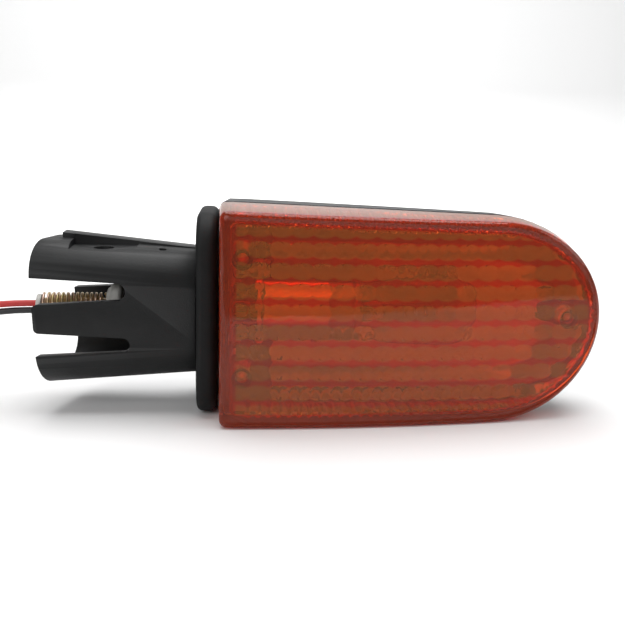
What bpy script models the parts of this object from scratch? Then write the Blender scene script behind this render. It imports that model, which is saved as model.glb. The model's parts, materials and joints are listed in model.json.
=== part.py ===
"""Motorcycle turn signal: an amber lamp on a hollow slotted stalk with a sprung clamp.

The lamp stands on its long lower side.  X runs from the stalk to the lamp's round end, the lens
faces -Y, and Z is up.  All sizes are in metres.  Pieces are placed in the lamp's own frame,
whose X zero is the lens's inboard edge and whose Y zero is the lens's rim.
"""

import math

import bmesh
import bpy
from mathutils import Matrix, Vector

# Lamp outline, seen along Y.
LENS_LENGTH = 0.100
LENS_HEIGHT = 0.055
TOP_TAPER = 0.034  # fall of the upper side per length
END_ROUND = 0.030  # half length of the elliptical outboard end
CORNER = 0.002
MIN_CORNER = 0.0005
# Lens.
LENS_DEPTH = 0.0175
LENS_SWEEP = 0.0135  # how much shallower the lens is at the outboard end
LENS_WALL = 0.0025
LENS_DRAFT = 0.0007
LENS_EDGE = 0.0015
BOSS_RADIUS = 0.0024
BOSS_PILOT = 0.0012
BOSS_X = 0.0063
BOSS_RISE = 0.0148
BOSS_TIP = 0.0095  # outboard boss, measured from the round end
# Housing behind it.
HOUSING_DEPTH = 0.022
HOUSING_SWEEP = 0.008
HOUSING_WALL = 0.0022
HOUSING_DRAFT = 0.0008
HOUSING_EDGE = 0.005
GASKET_THICK = 0.0012
GASKET_WIDTH = 0.0017
GASKET_INSET = 0.0004
TOWER_RADIUS = 0.0033
WELL_FLOOR = 0.004  # from the housing's rim to the screw heads' seats
DRAIN_RADIUS = 0.0012
# Reflector.
REFLECTOR_WALL = 0.0010
REFLECTOR_INSET = 0.0034
REFLECTOR_DEPTH = 0.0158
REFLECTOR_DRAFT = 0.0050
REFLECTOR_OPEN = 0.0145  # the reflector is open inboard of this
# General clearances.
GAP = 0.0003
RUN = 0.00006
# Mounting pad and stalk.
PAD_THICK = 0.0052
PAD_HEIGHT = 0.0522
PAD_DEPTH = 0.033
PAD_CORNER = 0.009
PAD_EDGE = 0.0023
PAD_RISE = 0.0005  # how far its middle lies above the stalk's
STALK_Y = 0.0070
STALK_Z = 0.0257
STALK_LENGTH = 0.0417
STALK_HEIGHT = 0.032
STALK_FLARE = 0.0060  # extra height at the free end
STALK_DEPTH = 0.026
STALK_DEPTH_FLARE = 0.002
STALK_CORNER = 0.0095
STALK_WALL = 0.0028
STALK_PLATE = 0.0032
STALK_SLANT = 0.0072  # how much shorter the rear wall is than the front one
SLOT_UPPER = 0.0065
SLOT_UPPER_END = 0.0242  # from the free end to the slot's round end
SLOT_UPPER_INNER = 0.0043
SLOT_UPPER_OUTER = 0.0072
SLOT_LOWER = 0.0072
SLOT_LOWER_END = 0.0252
SLOT_LOWER_INNER = 0.0036
SLOT_LOWER_OUTER = 0.0064
POCKET_X = 0.0180  # pocket centre from the free end
POCKET_LENGTH = 0.0168
POCKET_FLOOR = 0.0010
POCKET_HOLE = 0.00265
RIDGE_START = 0.0066  # from the free end
RIDGE_RISE = 0.0014
RIDGE_ROOT_RISE = 0.0003
RIDGE_WIDTH = 0.006
STALK_BOSS = 0.0033
STALK_BOSS_LENGTH = 0.0075
STALK_SCREW_RISE = 0.0072
# Sprung clamp.
TUBE_BORE = 0.00195
TUBE_NOSE = 0.00245
TUBE_SHANK = 0.0036
TUBE_HEAD = 0.0050
TUBE_HEAD_THICK = 0.0014
COLLAR_RADIUS = 0.0034
COLLAR_THICK = 0.0013
SEAT_RADIUS = 0.0065
SEAT_THICK = 0.0042
SEAT_RIM = 0.0012
SPRING_RADIUS = 0.0040
SPRING_WIRE = 0.0006
SPRING_TURNS = 13
SEAT_FROM_END = 0.0182  # the seat's outer face from the free end
# Fasteners.
SCREW_RADIUS = 0.0015
SCREW_HEAD = 0.0025
SCREW_HEAD_THICK = 0.0020
# Rubber grommet for the leads.
GROMMET_BORE = 0.0024
GROMMET_NECK = 0.0034
GROMMET_FLANGE = 0.0042
GROMMET_FLANGE_THICK = 0.0008
# Bulb and socket.
POST_RADIUS = 0.0026
POST_RISE = 0.0085
POST_Y = 0.0160
BULB_Y = 0.0025
BASE_RADIUS = 0.0075
BASE_LENGTH = 0.0160
GLASS_RADIUS = 0.0105
GLASS_LENGTH = 0.0310
GLASS_WALL = 0.0007
PIN_RADIUS = 0.0010
PIN_REACH = 0.0089
SHELL_WALL = 0.0006
SHELL_LENGTH = 0.0167
SOCKET_X = 0.010  # back face of the socket bracket
PIN_FROM_BRACKET = 0.0150
BASE_FROM_BRACKET = 0.0108
TWIST = math.radians(22)
PUSH = 0.0018
BRACKET_THICK = 0.0010
BRACKET_EDGE = 0.0032  # from a screw to the bracket's edge
# Leads.
LEAD_RADIUS = 0.00085
COIL_RADIUS = 0.010
COIL_TURNS = 2.5
COIL_RISE = 0.0018
COIL_LIFT = 0.0010
LEAD_SPREAD = 0.00095
TIE_THICK = 0.0006
TIE_WIDTH = 0.0030
BULLET_RADIUS = 0.0020
BULLET_LENGTH = 0.0075
SLEEVE_RADIUS = 0.0026
SLEEVE_LENGTH = 0.014

# Places worked out from the sizes.
AXIS_Z = LENS_HEIGHT / 2
STALK_ROOT = -(PAD_THICK + 2 * GAP)
FREE_END = STALK_ROOT - STALK_LENGTH
HOUSING_RIM = GASKET_THICK + 2 * GAP
SEAT_FACE = FREE_END + SEAT_FROM_END
NOSE_END = FREE_END - 0.0004
COIL_CENTRE = Vector((-0.1120, 0.0128, 0.0))
FRAME_SHIFT = Vector((
    -(LENS_LENGTH + NOSE_END) / 2,
    -(HOUSING_RIM + HOUSING_DEPTH - LENS_DEPTH) / 2,
    0.0,
))

STALK_AXIS = (0.0, STALK_Y, STALK_Z)
BULB_AXIS = (0.0, BULB_Y, AXIS_Z)

MATERIALS = {}


def material(name, colour, roughness, metallic=0.0, alpha=1.0):
    """A Principled material, made once for each name."""
    if name in MATERIALS:
        return MATERIALS[name]
    made = bpy.data.materials.new(name)
    made.use_nodes = True
    shader = made.node_tree.nodes["Principled BSDF"]
    shader.inputs["Base Color"].default_value = (*colour, 1.0)
    shader.inputs["Roughness"].default_value = roughness
    shader.inputs["Metallic"].default_value = metallic
    shader.inputs["Alpha"].default_value = alpha
    made.diffuse_color = (*colour, alpha)
    MATERIALS[name] = made
    return made


def amber():
    return material("amber_lens", (0.75, 0.13, 0.02), 0.10, alpha=0.6)


def black_plastic():
    return material("black_plastic", (0.025, 0.026, 0.027), 0.55)


def black_rubber():
    return material("black_rubber", (0.020, 0.020, 0.021), 0.75)


def silvered():
    return material("silvered_plastic", (0.82, 0.82, 0.80), 0.15, metallic=1.0)


def zinc():
    return material("zinc_plated_steel", (0.62, 0.60, 0.50), 0.35, metallic=1.0)


def cast_zinc():
    return material("cast_zinc", (0.42, 0.41, 0.39), 0.50, metallic=0.8)


def brass():
    return material("nickelled_brass", (0.72, 0.66, 0.48), 0.28, metallic=1.0)


def phenolic():
    return material("phenolic_board", (0.25, 0.12, 0.05), 0.60)


def glass():
    return material("clear_glass", (0.95, 0.96, 0.96), 0.03, alpha=0.3)


def tungsten():
    return material("tungsten_wire", (0.35, 0.35, 0.36), 0.35, metallic=1.0)


def red_sheath():
    return material("red_sheath", (0.60, 0.03, 0.03), 0.45)


def black_sheath():
    return material("black_sheath", (0.02, 0.02, 0.02), 0.45)


def clear_start():
    for thing in list(bpy.data.objects):
        bpy.data.objects.remove(thing, do_unlink=True)


def lamp_frame():
    """The empty that carries the lamp's own frame to the middle of its footprint."""
    frame = bpy.data.objects.new("lamp_frame", None)
    frame.location = FRAME_SHIFT
    bpy.context.scene.collection.objects.link(frame)
    return frame


def add_object(name, data, made_of, place=(0, 0, 0), smooth=True):
    """Link an object under the lamp's frame, with its material and its shading."""
    thing = bpy.data.objects.new(name, data)
    thing.data.materials.append(made_of)
    thing.location = place
    thing.parent = bpy.data.objects["lamp_frame"]
    bpy.context.scene.collection.objects.link(thing)
    if smooth and isinstance(data, bpy.types.Mesh):
        data.shade_smooth()
        data.set_sharp_from_angle(angle=math.radians(32))
    return thing


def mesh_from(name, bm):
    """A mesh with its faces turned outward."""
    bmesh.ops.recalc_face_normals(bm, faces=bm.faces)
    mesh = bpy.data.meshes.new(name)
    bm.to_mesh(mesh)
    bm.free()
    return mesh


def hide_cutter(thing):
    thing.hide_render = True
    thing.display_type = "WIRE"


def combine(target, tool, operation):
    """Cut target by tool, or join tool to it; like steps in a row share one modifier."""
    hide_cutter(tool)
    steps = target.modifiers
    if not steps or steps[-1].operation != operation:
        step = steps.new(f"{target.name}_{len(steps)}", "BOOLEAN")
        step.operand_type = "COLLECTION"
        step.collection = bpy.data.collections.new(step.name)
        step.operation = operation
        step.solver = "EXACT"
    steps[-1].collection.objects.link(tool)


def box(name, low, high, made_of):
    """A plain box between two opposite corners."""
    bm = bmesh.new()
    bmesh.ops.create_cube(bm, size=1.0)
    size = [b - a for a, b in zip(low, high)]
    middle = [(a + b) / 2 for a, b in zip(low, high)]
    bmesh.ops.scale(bm, vec=size, verts=bm.verts)
    bmesh.ops.translate(bm, vec=middle, verts=bm.verts)
    return add_object(name, mesh_from(name, bm), made_of, smooth=False)


def turned(name, profile, centre, axis, made_of, sides=32, bore=False):
    """A solid turned about a line through centre along axis.

    The profile is a closed outline of (distance along, radius); a radius of zero is a pole.
    bore makes the flats, and not the corners, keep to the radii.
    """
    bm = bmesh.new()
    stretch = 1.0 / math.cos(math.pi / sides) if bore else 1.0
    turn = Vector((0, 0, 1)).rotation_difference(Vector(axis)).to_matrix().to_4x4()
    rings = []
    for along, radius in profile:
        if radius == 0:
            rings.append([bm.verts.new(turn @ Vector((0, 0, along)))])
            continue
        ring = []
        for i in range(sides):
            angle = 2 * math.pi * i / sides
            spot = Vector((math.cos(angle), math.sin(angle), 0)) * radius * stretch
            ring.append(bm.verts.new(turn @ (spot + Vector((0, 0, along)))))
        rings.append(ring)
    for a, b in zip(rings, rings[1:] + rings[:1]):
        if len(a) == 1 and len(b) == 1:
            continue
        for i in range(sides):
            j = (i + 1) % sides
            corners = [a[i % len(a)], a[j % len(a)], b[j % len(b)], b[i % len(b)]]
            corners = list(dict.fromkeys(corners))
            bm.faces.new(corners)
    return add_object(name, mesh_from(name, bm), made_of, place=centre)


def rod(name, radius, low, high, centre, axis, made_of, sides=24):
    """A plain cylinder from low to high along axis."""
    profile = [(low, 0), (low, radius), (high, radius), (high, 0)]
    return turned(name, profile, centre, axis, made_of, sides)


def ring(name, inner, outer, low, high, centre, axis, made_of, sides=32):
    """A plain ring, whose bore is round at least to its inner radius."""
    profile = [(low, inner), (low, outer), (high, outer), (high, inner)]
    return turned(name, profile, centre, axis, made_of, sides, bore=True)


def cord(name, points, radius, made_of):
    """A round cord along points."""
    curve = bpy.data.curves.new(name, "CURVE")
    curve.dimensions = "3D"
    curve.bevel_depth = radius
    curve.bevel_resolution = 2
    curve.render_resolution_u = 0
    curve.use_fill_caps = True
    spline = curve.splines.new("POLY")
    spline.points.add(len(points) - 1)
    for spot, place in zip(spline.points, points):
        spot.co = (*place, 1.0)
    return add_object(name, curve, made_of, smooth=False)


def smooth_route(points, step):
    """Points about step apart on a smooth curve through the given ones."""
    route = []
    knots = [Vector(p) for p in points]
    ends = [2 * knots[0] - knots[1]] + knots + [2 * knots[-1] - knots[-2]]
    for a, b, c, d in zip(ends, ends[1:], ends[2:], ends[3:]):
        count = max(1, round((c - b).length / step))
        for i in range(count):
            t = i / count
            route.append(
                b
                + (c - a) * (t / 2)
                + (a * 2 - b * 5 + c * 4 - d) * (t * t / 2)
                + (b * 3 - a - c * 3 + d) * (t ** 3 / 2)
            )
    route.append(knots[-1])
    return route


def stations():
    """Where the outline is sampled: (kind, value) from the inboard edge to the tip."""
    spots = [("corner", i / 2) for i in range(3)]
    spots += [("side", i / 5) for i in range(1, 6)]
    spots += [("end", i / 9) for i in range(1, 10)]
    return spots


def outline(inset, below):
    """The lamp outline as (x, low z, high z) from the inboard edge.

    It is drawn in by inset, and by below on its lower side.
    """
    corner = max(CORNER - inset, MIN_CORNER)
    shoulder = LENS_LENGTH - END_ROUND
    spots = []
    for kind, value in stations():
        if kind == "corner":
            x = inset + corner * (1 - math.cos(value * math.pi / 2))
            rise = corner * (1 - math.sin(value * math.pi / 2))
        elif kind == "side":
            x = inset + corner + (shoulder - inset - corner) * value
            rise = 0.0
        if kind != "end":
            low = below + rise
            high = LENS_HEIGHT - TOP_TAPER * x - inset - rise
        else:
            top = LENS_HEIGHT - TOP_TAPER * shoulder
            middle = top / 2
            turn = value * math.pi / 2
            x = shoulder + (END_ROUND - inset) * math.sin(turn)
            low = middle - (middle - below) * math.cos(turn)
            high = middle + (middle - inset) * math.cos(turn)
        spots.append((x, low, high))
    return spots


def outline_loop(bm, inset, below, depth_at):
    """One closed loop of the outline, at the depth that each x has."""
    spots = outline(inset, below)
    low = [bm.verts.new((x, depth_at(x), a)) for x, a, b in spots]
    high = [bm.verts.new((x, depth_at(x), b)) for x, a, b in spots[:-1]]
    return low, high


def loop_order(pair):
    low, high = pair
    return low + high[::-1]


def bridge(bm, first, second):
    for i in range(len(first)):
        j = (i + 1) % len(first)
        bm.faces.new([first[i], first[j], second[j], second[i]])


def cover(bm, pair):
    """Close an outline with upright strips, so that a swept face stays true."""
    low, high = pair
    high = high + [low[-1]]
    for i in range(len(low) - 1):
        corners = [low[i], low[i + 1], high[i + 1], high[i]]
        bm.faces.new(list(dict.fromkeys(corners)))


def tray(name, rim, side, depth_at, draft, edge, wall, made_of, rim_inset=0.0):
    """An open tray with the lamp's outline: rim at Y rim, floor to the given side.

    The lower side has no draft, so that the lamp can stand on it.
    """
    bm = bmesh.new()

    def walls(gap, round_off, steps):
        inset = rim_inset + gap
        levels = [outline_loop(bm, inset, inset, lambda x: rim)]
        for i in range(steps + 1):
            turn = math.pi / 2 * i / steps
            below = inset + round_off * (1 - math.cos(turn))
            back = round_off * (1 - math.sin(turn)) + gap
            levels.append(
                outline_loop(bm, below + draft, below, lambda x: rim + side * (depth_at(x) - back))
            )
        for a, b in zip(levels, levels[1:]):
            bridge(bm, loop_order(a), loop_order(b))
        cover(bm, levels[-1])
        return levels[0]

    outer = walls(0.0, edge, steps=3)
    inner = walls(wall, max(edge - wall, MIN_CORNER), steps=1)
    bridge(bm, loop_order(outer), loop_order(inner))
    return add_object(name, mesh_from(name, bm), made_of)


def lens_depth(x):
    return LENS_DEPTH - LENS_SWEEP * (x / LENS_LENGTH) ** 2


def housing_depth(x):
    return HOUSING_DEPTH - HOUSING_SWEEP * (x / LENS_LENGTH) ** 2


def reflector_depth(x):
    return REFLECTOR_DEPTH - HOUSING_SWEEP * (x / LENS_LENGTH) ** 2


def boss_places():
    """The three screw places, as (x, z)."""
    tip = (LENS_HEIGHT - TOP_TAPER * (LENS_LENGTH - END_ROUND)) / 2
    return [
        (BOSS_X, AXIS_Z + BOSS_RISE),
        (BOSS_X, AXIS_Z - BOSS_RISE),
        (LENS_LENGTH - BOSS_TIP, tip),
    ]


def screw_place(side):
    """Where a stalk screw crosses the housing's inboard wall."""
    return (0, STALK_Y, STALK_Z + side * STALK_SCREW_RISE)


def post_place(side):
    """The post that a bracket screw enters."""
    return (0, POST_Y, AXIS_Z + side * POST_RISE)


def make_lens():
    lens = tray("lens", 0.0, -1, lens_depth, LENS_DRAFT, LENS_EDGE, LENS_WALL, amber())
    for i, (x, z) in enumerate(boss_places(), 1):
        back = -(lens_depth(x) - LENS_WALL / 2)
        boss = rod(f"cut_lens_boss_{i}", BOSS_RADIUS, back, 0.0, (x, 0, z), (0, 1, 0), amber())
        combine(lens, boss, "UNION")
    for i, (x, z) in enumerate(boss_places(), 1):
        pilot = rod(
            f"cut_lens_pilot_{i}", BOSS_PILOT + GAP, LENS_WALL * 1.5 - lens_depth(x), GAP,
            (x, 0, z), (0, 1, 0), amber(), sides=16,
        )
        combine(lens, pilot, "DIFFERENCE")


def make_gasket():
    """A flat rubber ring round the rim."""
    bm = bmesh.new()
    loops = []
    for inset, y in (
        (GASKET_INSET, GAP),
        (GASKET_INSET, GAP + GASKET_THICK),
        (GASKET_INSET + GASKET_WIDTH, GAP + GASKET_THICK),
        (GASKET_INSET + GASKET_WIDTH, GAP),
    ):
        loops.append(loop_order(outline_loop(bm, inset, inset, lambda x: y)))
    for a, b in zip(loops, loops[1:] + loops[:1]):
        bridge(bm, a, b)
    add_object("lens_gasket", mesh_from("lens_gasket", bm), black_rubber())


def make_housing():
    """The rear housing, with screw towers, a lead hole, stalk screw holes and a drain."""
    housing = tray(
        "rear_housing", HOUSING_RIM, 1, housing_depth, HOUSING_DRAFT, HOUSING_EDGE,
        HOUSING_WALL, black_plastic(),
    )
    for i, (x, z) in enumerate(boss_places(), 1):
        floor = HOUSING_RIM + housing_depth(x)
        tower = rod(
            f"cut_tower_{i}", TOWER_RADIUS, GAP + 0.0005, floor - HOUSING_WALL / 2,
            (x, 0, z), (0, 1, 0), black_plastic(),
        )
        combine(housing, tower, "UNION")
    for side in (1, -1):
        x, y, z = post_place(side)
        post = rod(
            f"cut_post_{side}", POST_RADIUS, HOUSING_WALL / 2, SOCKET_X - GAP, (0, y, z),
            (1, 0, 0), black_plastic(),
        )
        combine(housing, post, "UNION")
    for i, (x, z) in enumerate(boss_places(), 1):
        floor = HOUSING_RIM + housing_depth(x)
        seat = HOUSING_RIM + WELL_FLOOR
        well = turned(
            f"cut_well_{i}",
            [
                (-0.001, 0), (-0.001, SCREW_RADIUS + GAP), (seat, SCREW_RADIUS + GAP),
                (seat, SCREW_HEAD + GAP), (floor + 0.002, SCREW_HEAD + GAP), (floor + 0.002, 0),
            ],
            (x, 0, z), (0, 1, 0), black_plastic(), sides=24,
        )
        combine(housing, well, "DIFFERENCE")
    wall_span = (-0.002, HOUSING_WALL + HOUSING_DRAFT + 0.002)
    lead_hole = rod(
        "cut_lead_hole", GROMMET_NECK + GAP, *wall_span, STALK_AXIS, (1, 0, 0), black_plastic(),
    )
    combine(housing, lead_hole, "DIFFERENCE")
    for side in (1, -1):
        way = rod(
            f"cut_stalk_way_{side}", SCREW_RADIUS + GAP, *wall_span, screw_place(side), (1, 0, 0),
            black_plastic(), sides=16,
        )
        combine(housing, way, "DIFFERENCE")
        pilot = rod(
            f"cut_post_pilot_{side}", SCREW_RADIUS + GAP, HOUSING_WALL, SOCKET_X + GAP,
            post_place(side), (1, 0, 0), black_plastic(), sides=16,
        )
        combine(housing, pilot, "DIFFERENCE")
    drain = rod(
        "cut_drain", DRAIN_RADIUS, -0.002, 0.008, (0.030, HOUSING_RIM + 0.006, 0), (0, 0, 1),
        black_plastic(), sides=12,
    )
    combine(housing, drain, "DIFFERENCE")


def make_reflector():
    """A silvered tray, open inboard, with notches for the screw towers."""
    reflector = tray(
        "reflector", HOUSING_RIM + 0.001, 1, reflector_depth, REFLECTOR_DRAFT,
        HOUSING_EDGE, REFLECTOR_WALL, silvered(), rim_inset=REFLECTOR_INSET,
    )
    opening = box(
        "cut_reflector_inboard", (-0.01, -0.01, -0.01), (REFLECTOR_OPEN, 0.03, 0.07), silvered(),
    )
    combine(reflector, opening, "DIFFERENCE")
    x, z = boss_places()[2]
    notch = rod(
        "cut_reflector_notch", TOWER_RADIUS + 2 * GAP, -0.01, 0.03, (x, 0, z), (0, 1, 0),
        silvered(),
    )
    combine(reflector, notch, "DIFFERENCE")
    relief = box(
        "cut_reflector_relief", (x, -0.01, z - TOWER_RADIUS - 2 * GAP),
        (x + 0.02, 0.03, z + TOWER_RADIUS + 2 * GAP), silvered(),
    )
    combine(reflector, relief, "DIFFERENCE")


def screw_profile(length, head, head_thick, shank):
    """A pan-head screw along its axis, its head's top at zero and its tip at length."""
    return [
        (0, 0), (0, head * 0.7), (head_thick * 0.4, head), (head_thick, head),
        (head_thick, shank), (length - shank, shank), (length, 0),
    ]


def driver_recess(name, screw, place, axis):
    """A cross recess in a screw head."""
    for i, turn in enumerate((0.1, 0.1 + math.pi / 2)):
        blade = box(
            f"cut_{name}_recess_{i}", (-SCREW_HEAD * 0.55, -0.00035, -0.001),
            (SCREW_HEAD * 0.55, 0.00035, SCREW_HEAD_THICK * (0.50 - 0.06 * i)), zinc(),
        )
        tilt = Vector((0, 0, 1)).rotation_difference(Vector(axis)).to_matrix().to_4x4()
        blade.matrix_basis = Matrix.Translation(place) @ tilt @ Matrix.Rotation(turn, 4, "Z")
        combine(screw, blade, "DIFFERENCE")


def make_screw(name, length, shank, place, axis):
    profile = screw_profile(length, SCREW_HEAD, SCREW_HEAD_THICK, shank)
    screw = turned(name, profile, place, axis, zinc(), sides=20)
    driver_recess(name, screw, place, axis)


def make_lens_screws():
    """Three screws that come from behind into the lens's bosses."""
    head_top = HOUSING_RIM + WELL_FLOOR + SCREW_HEAD_THICK + GAP
    for i, (x, z) in enumerate(boss_places(), 1):
        length = head_top + lens_depth(x) - 2 * LENS_WALL
        make_screw(f"lens_screw_{i}", length, BOSS_PILOT, (x, head_top, z), (0, -1, 0))


def make_stalk_screws():
    """Two screws from inside the lamp through wall and pad into the stalk's bosses."""
    head_top = HOUSING_WALL + HOUSING_DRAFT + GAP + SCREW_HEAD_THICK
    length = head_top - STALK_ROOT + STALK_BOSS_LENGTH
    for name, side in (("stalk_screw_upper", 1), ("stalk_screw_lower", -1)):
        place = Vector(screw_place(side)) + Vector((head_top, 0, 0))
        make_screw(name, length, SCREW_RADIUS, place, (-1, 0, 0))


def rounded_section(x_at, half_height, half_depth, corner, steps=6):
    """A rounded rectangle round the stalk's axis; x_at gives X for each Y offset."""
    spots = []
    for quarter in range(4):
        sign_y = (1, -1, -1, 1)[quarter]
        sign_z = (1, 1, -1, -1)[quarter]
        for i in range(steps + 1):
            turn = math.pi / 2 * (quarter + i / steps)
            y = sign_y * (half_depth - corner) + corner * math.cos(turn)
            z = sign_z * (half_height - corner) + corner * math.sin(turn)
            spots.append((x_at(y), STALK_Y + y, STALK_Z + z))
    return spots


def loft(name, sections, made_of):
    """A skin through rings of points, closed by its first and last rings."""
    bm = bmesh.new()
    rings = [[bm.verts.new(p) for p in section] for section in sections]
    for a, b in zip(rings, rings[1:]):
        bridge(bm, a, b)
    bm.faces.new(rings[0])
    bm.faces.new(rings[-1])
    return add_object(name, mesh_from(name, bm), made_of)


def make_pad():
    """The rubber pad between lamp and stalk, with a fat rounded edge."""
    sections = []
    steps = 3
    for i in range(steps + 1):
        turn = math.pi / 2 * i / steps
        drawn = PAD_EDGE * (1 - math.sin(turn))
        x = -GAP - PAD_EDGE * (1 - math.cos(turn))
        sections.append(pad_section(x, drawn))
    for i in range(steps + 1):
        turn = math.pi / 2 * i / steps
        drawn = PAD_EDGE * (1 - math.cos(turn))
        x = -GAP - PAD_THICK + PAD_EDGE * (1 - math.sin(turn))
        sections.append(pad_section(x, drawn))
    pad = loft("mounting_pad", sections, black_rubber())
    through = (-GAP - PAD_THICK - 0.001, 0.001)
    lead_way = rod("cut_pad_lead_way", GROMMET_BORE, *through, STALK_AXIS, (1, 0, 0), black_rubber())
    combine(pad, lead_way, "DIFFERENCE")
    for side in (1, -1):
        way = rod(
            f"cut_pad_way_{side}", SCREW_RADIUS + GAP, *through, screw_place(side), (1, 0, 0),
            black_rubber(), sides=16,
        )
        combine(pad, way, "DIFFERENCE")


def pad_section(x, drawn):
    level = rounded_section(
        lambda y: x, PAD_HEIGHT / 2 - drawn, PAD_DEPTH / 2 - drawn, PAD_CORNER - drawn,
    )
    return [(x, y, z + PAD_RISE) for x, y, z in level]


def stalk_half_height(x):
    return (STALK_HEIGHT + STALK_FLARE * (STALK_ROOT - x) / STALK_LENGTH) / 2


def stalk_half_depth(x):
    return (STALK_DEPTH + STALK_DEPTH_FLARE * (STALK_ROOT - x) / STALK_LENGTH) / 2


def stalk_section(x, wall, slanted=False):
    half_depth = stalk_half_depth(x)

    def x_at(y):
        return x + STALK_SLANT * (y + half_depth) / (2 * half_depth) if slanted else x

    return rounded_section(
        x_at, stalk_half_height(x) - wall, half_depth - wall, STALK_CORNER - wall,
    )


def ridge_bar():
    """The raised strip along the upper side, highest near the free end."""
    bm = bmesh.new()
    rings = []
    ends = ((FREE_END + RIDGE_START, RIDGE_RISE), (STALK_ROOT - 0.002, RIDGE_ROOT_RISE))
    for x, rise in ends:
        top = STALK_Z + stalk_half_height(x)
        low_y = STALK_Y
        high_y = STALK_Y + RIDGE_WIDTH
        low_z = top - STALK_WALL / 2
        high_z = top + rise
        corners = [(low_y, low_z), (high_y, low_z), (high_y, high_z), (low_y, high_z)]
        rings.append([bm.verts.new((x, y, z)) for y, z in corners])
    bm.faces.new(rings[0])
    bm.faces.new(rings[1])
    bridge(bm, *rings)
    return add_object("cut_stalk_ridge", mesh_from("cut_stalk_ridge", bm), black_plastic())


def slot_cutter(name, depth, centre, inner, outer):
    """A tapering slot through both walls, round at its closed end."""
    end = FREE_END + depth
    bm = bmesh.new()
    spots = []
    for i in range(9):
        turn = math.pi / 2 - math.pi * i / 8
        spots.append((end + inner / 2 * (math.cos(turn) - 1), centre + inner / 2 * math.sin(turn)))
    reach = FREE_END - 0.002
    spots += [(reach, centre - outer / 2), (reach, centre + outer / 2)]
    front = [bm.verts.new((x, STALK_Y - STALK_DEPTH, z)) for x, z in spots]
    back = [bm.verts.new((x, STALK_Y + STALK_DEPTH, z)) for x, z in spots]
    bm.faces.new(front)
    bm.faces.new(back)
    bridge(bm, front, back)
    return add_object(name, mesh_from(name, bm), black_plastic())


def make_stalk():
    """The hollow stalk: a closed plate at the pad, open and slotted at the free end."""
    plate = STALK_ROOT - STALK_PLATE
    sections = [
        stalk_section(plate, STALK_WALL),
        stalk_section(FREE_END, STALK_WALL, slanted=True),
        stalk_section(FREE_END, 0.0, slanted=True),
        stalk_section(STALK_ROOT, 0.0),
    ]
    stalk = loft("stalk", sections, black_plastic())
    for side in (1, -1):
        boss = rod(
            f"cut_stalk_boss_{side}", STALK_BOSS, plate - STALK_BOSS_LENGTH, plate + 0.001,
            screw_place(side), (1, 0, 0), black_plastic(),
        )
        combine(stalk, boss, "UNION")
    combine(stalk, ridge_bar(), "UNION")
    for side in (1, -1):
        pilot = rod(
            f"cut_stalk_pilot_{side}", SCREW_RADIUS + GAP, plate - STALK_BOSS_LENGTH + 0.001,
            STALK_ROOT + 0.001, screw_place(side), (1, 0, 0), black_plastic(), sides=16,
        )
        combine(stalk, pilot, "DIFFERENCE")
    upper = slot_cutter(
        "cut_slot_upper", SLOT_UPPER_END, STALK_Z + SLOT_UPPER, SLOT_UPPER_INNER,
        SLOT_UPPER_OUTER,
    )
    lower = slot_cutter(
        "cut_slot_lower", SLOT_LOWER_END, STALK_Z - SLOT_LOWER, SLOT_LOWER_INNER,
        SLOT_LOWER_OUTER,
    )
    combine(stalk, upper, "DIFFERENCE")
    combine(stalk, lower, "DIFFERENCE")
    cut_pocket(stalk)
    seat_way = rod(
        "cut_tube_way", TUBE_SHANK + GAP, plate - 0.001, STALK_ROOT + 0.001, STALK_AXIS,
        (1, 0, 0), black_plastic(),
    )
    head_way = rod(
        "cut_tube_head_way", TUBE_HEAD + GAP, STALK_ROOT - TUBE_HEAD_THICK - GAP,
        STALK_ROOT + 0.001, STALK_AXIS, (1, 0, 0), black_plastic(),
    )
    combine(stalk, seat_way, "DIFFERENCE")
    combine(stalk, head_way, "DIFFERENCE")


def cut_pocket(stalk):
    """The flat pocket on the upper side, with its through hole."""
    x = FREE_END + POCKET_X
    floor = STALK_Z + stalk_half_height(x) - POCKET_FLOOR
    pocket = box(
        "cut_pocket", (x - POCKET_LENGTH / 2, STALK_Y - STALK_DEPTH, floor),
        (x + POCKET_LENGTH / 2, STALK_Y + GAP, floor + 0.006), black_plastic(),
    )
    hole = rod(
        "cut_pocket_hole", POCKET_HOLE, floor - STALK_WALL - 0.001, floor + 0.001,
        (x, STALK_Y - 2 * POCKET_HOLE, 0), (0, 0, 1), black_plastic(), sides=20,
    )
    combine(stalk, pocket, "DIFFERENCE")
    combine(stalk, hole, "DIFFERENCE")


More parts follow.
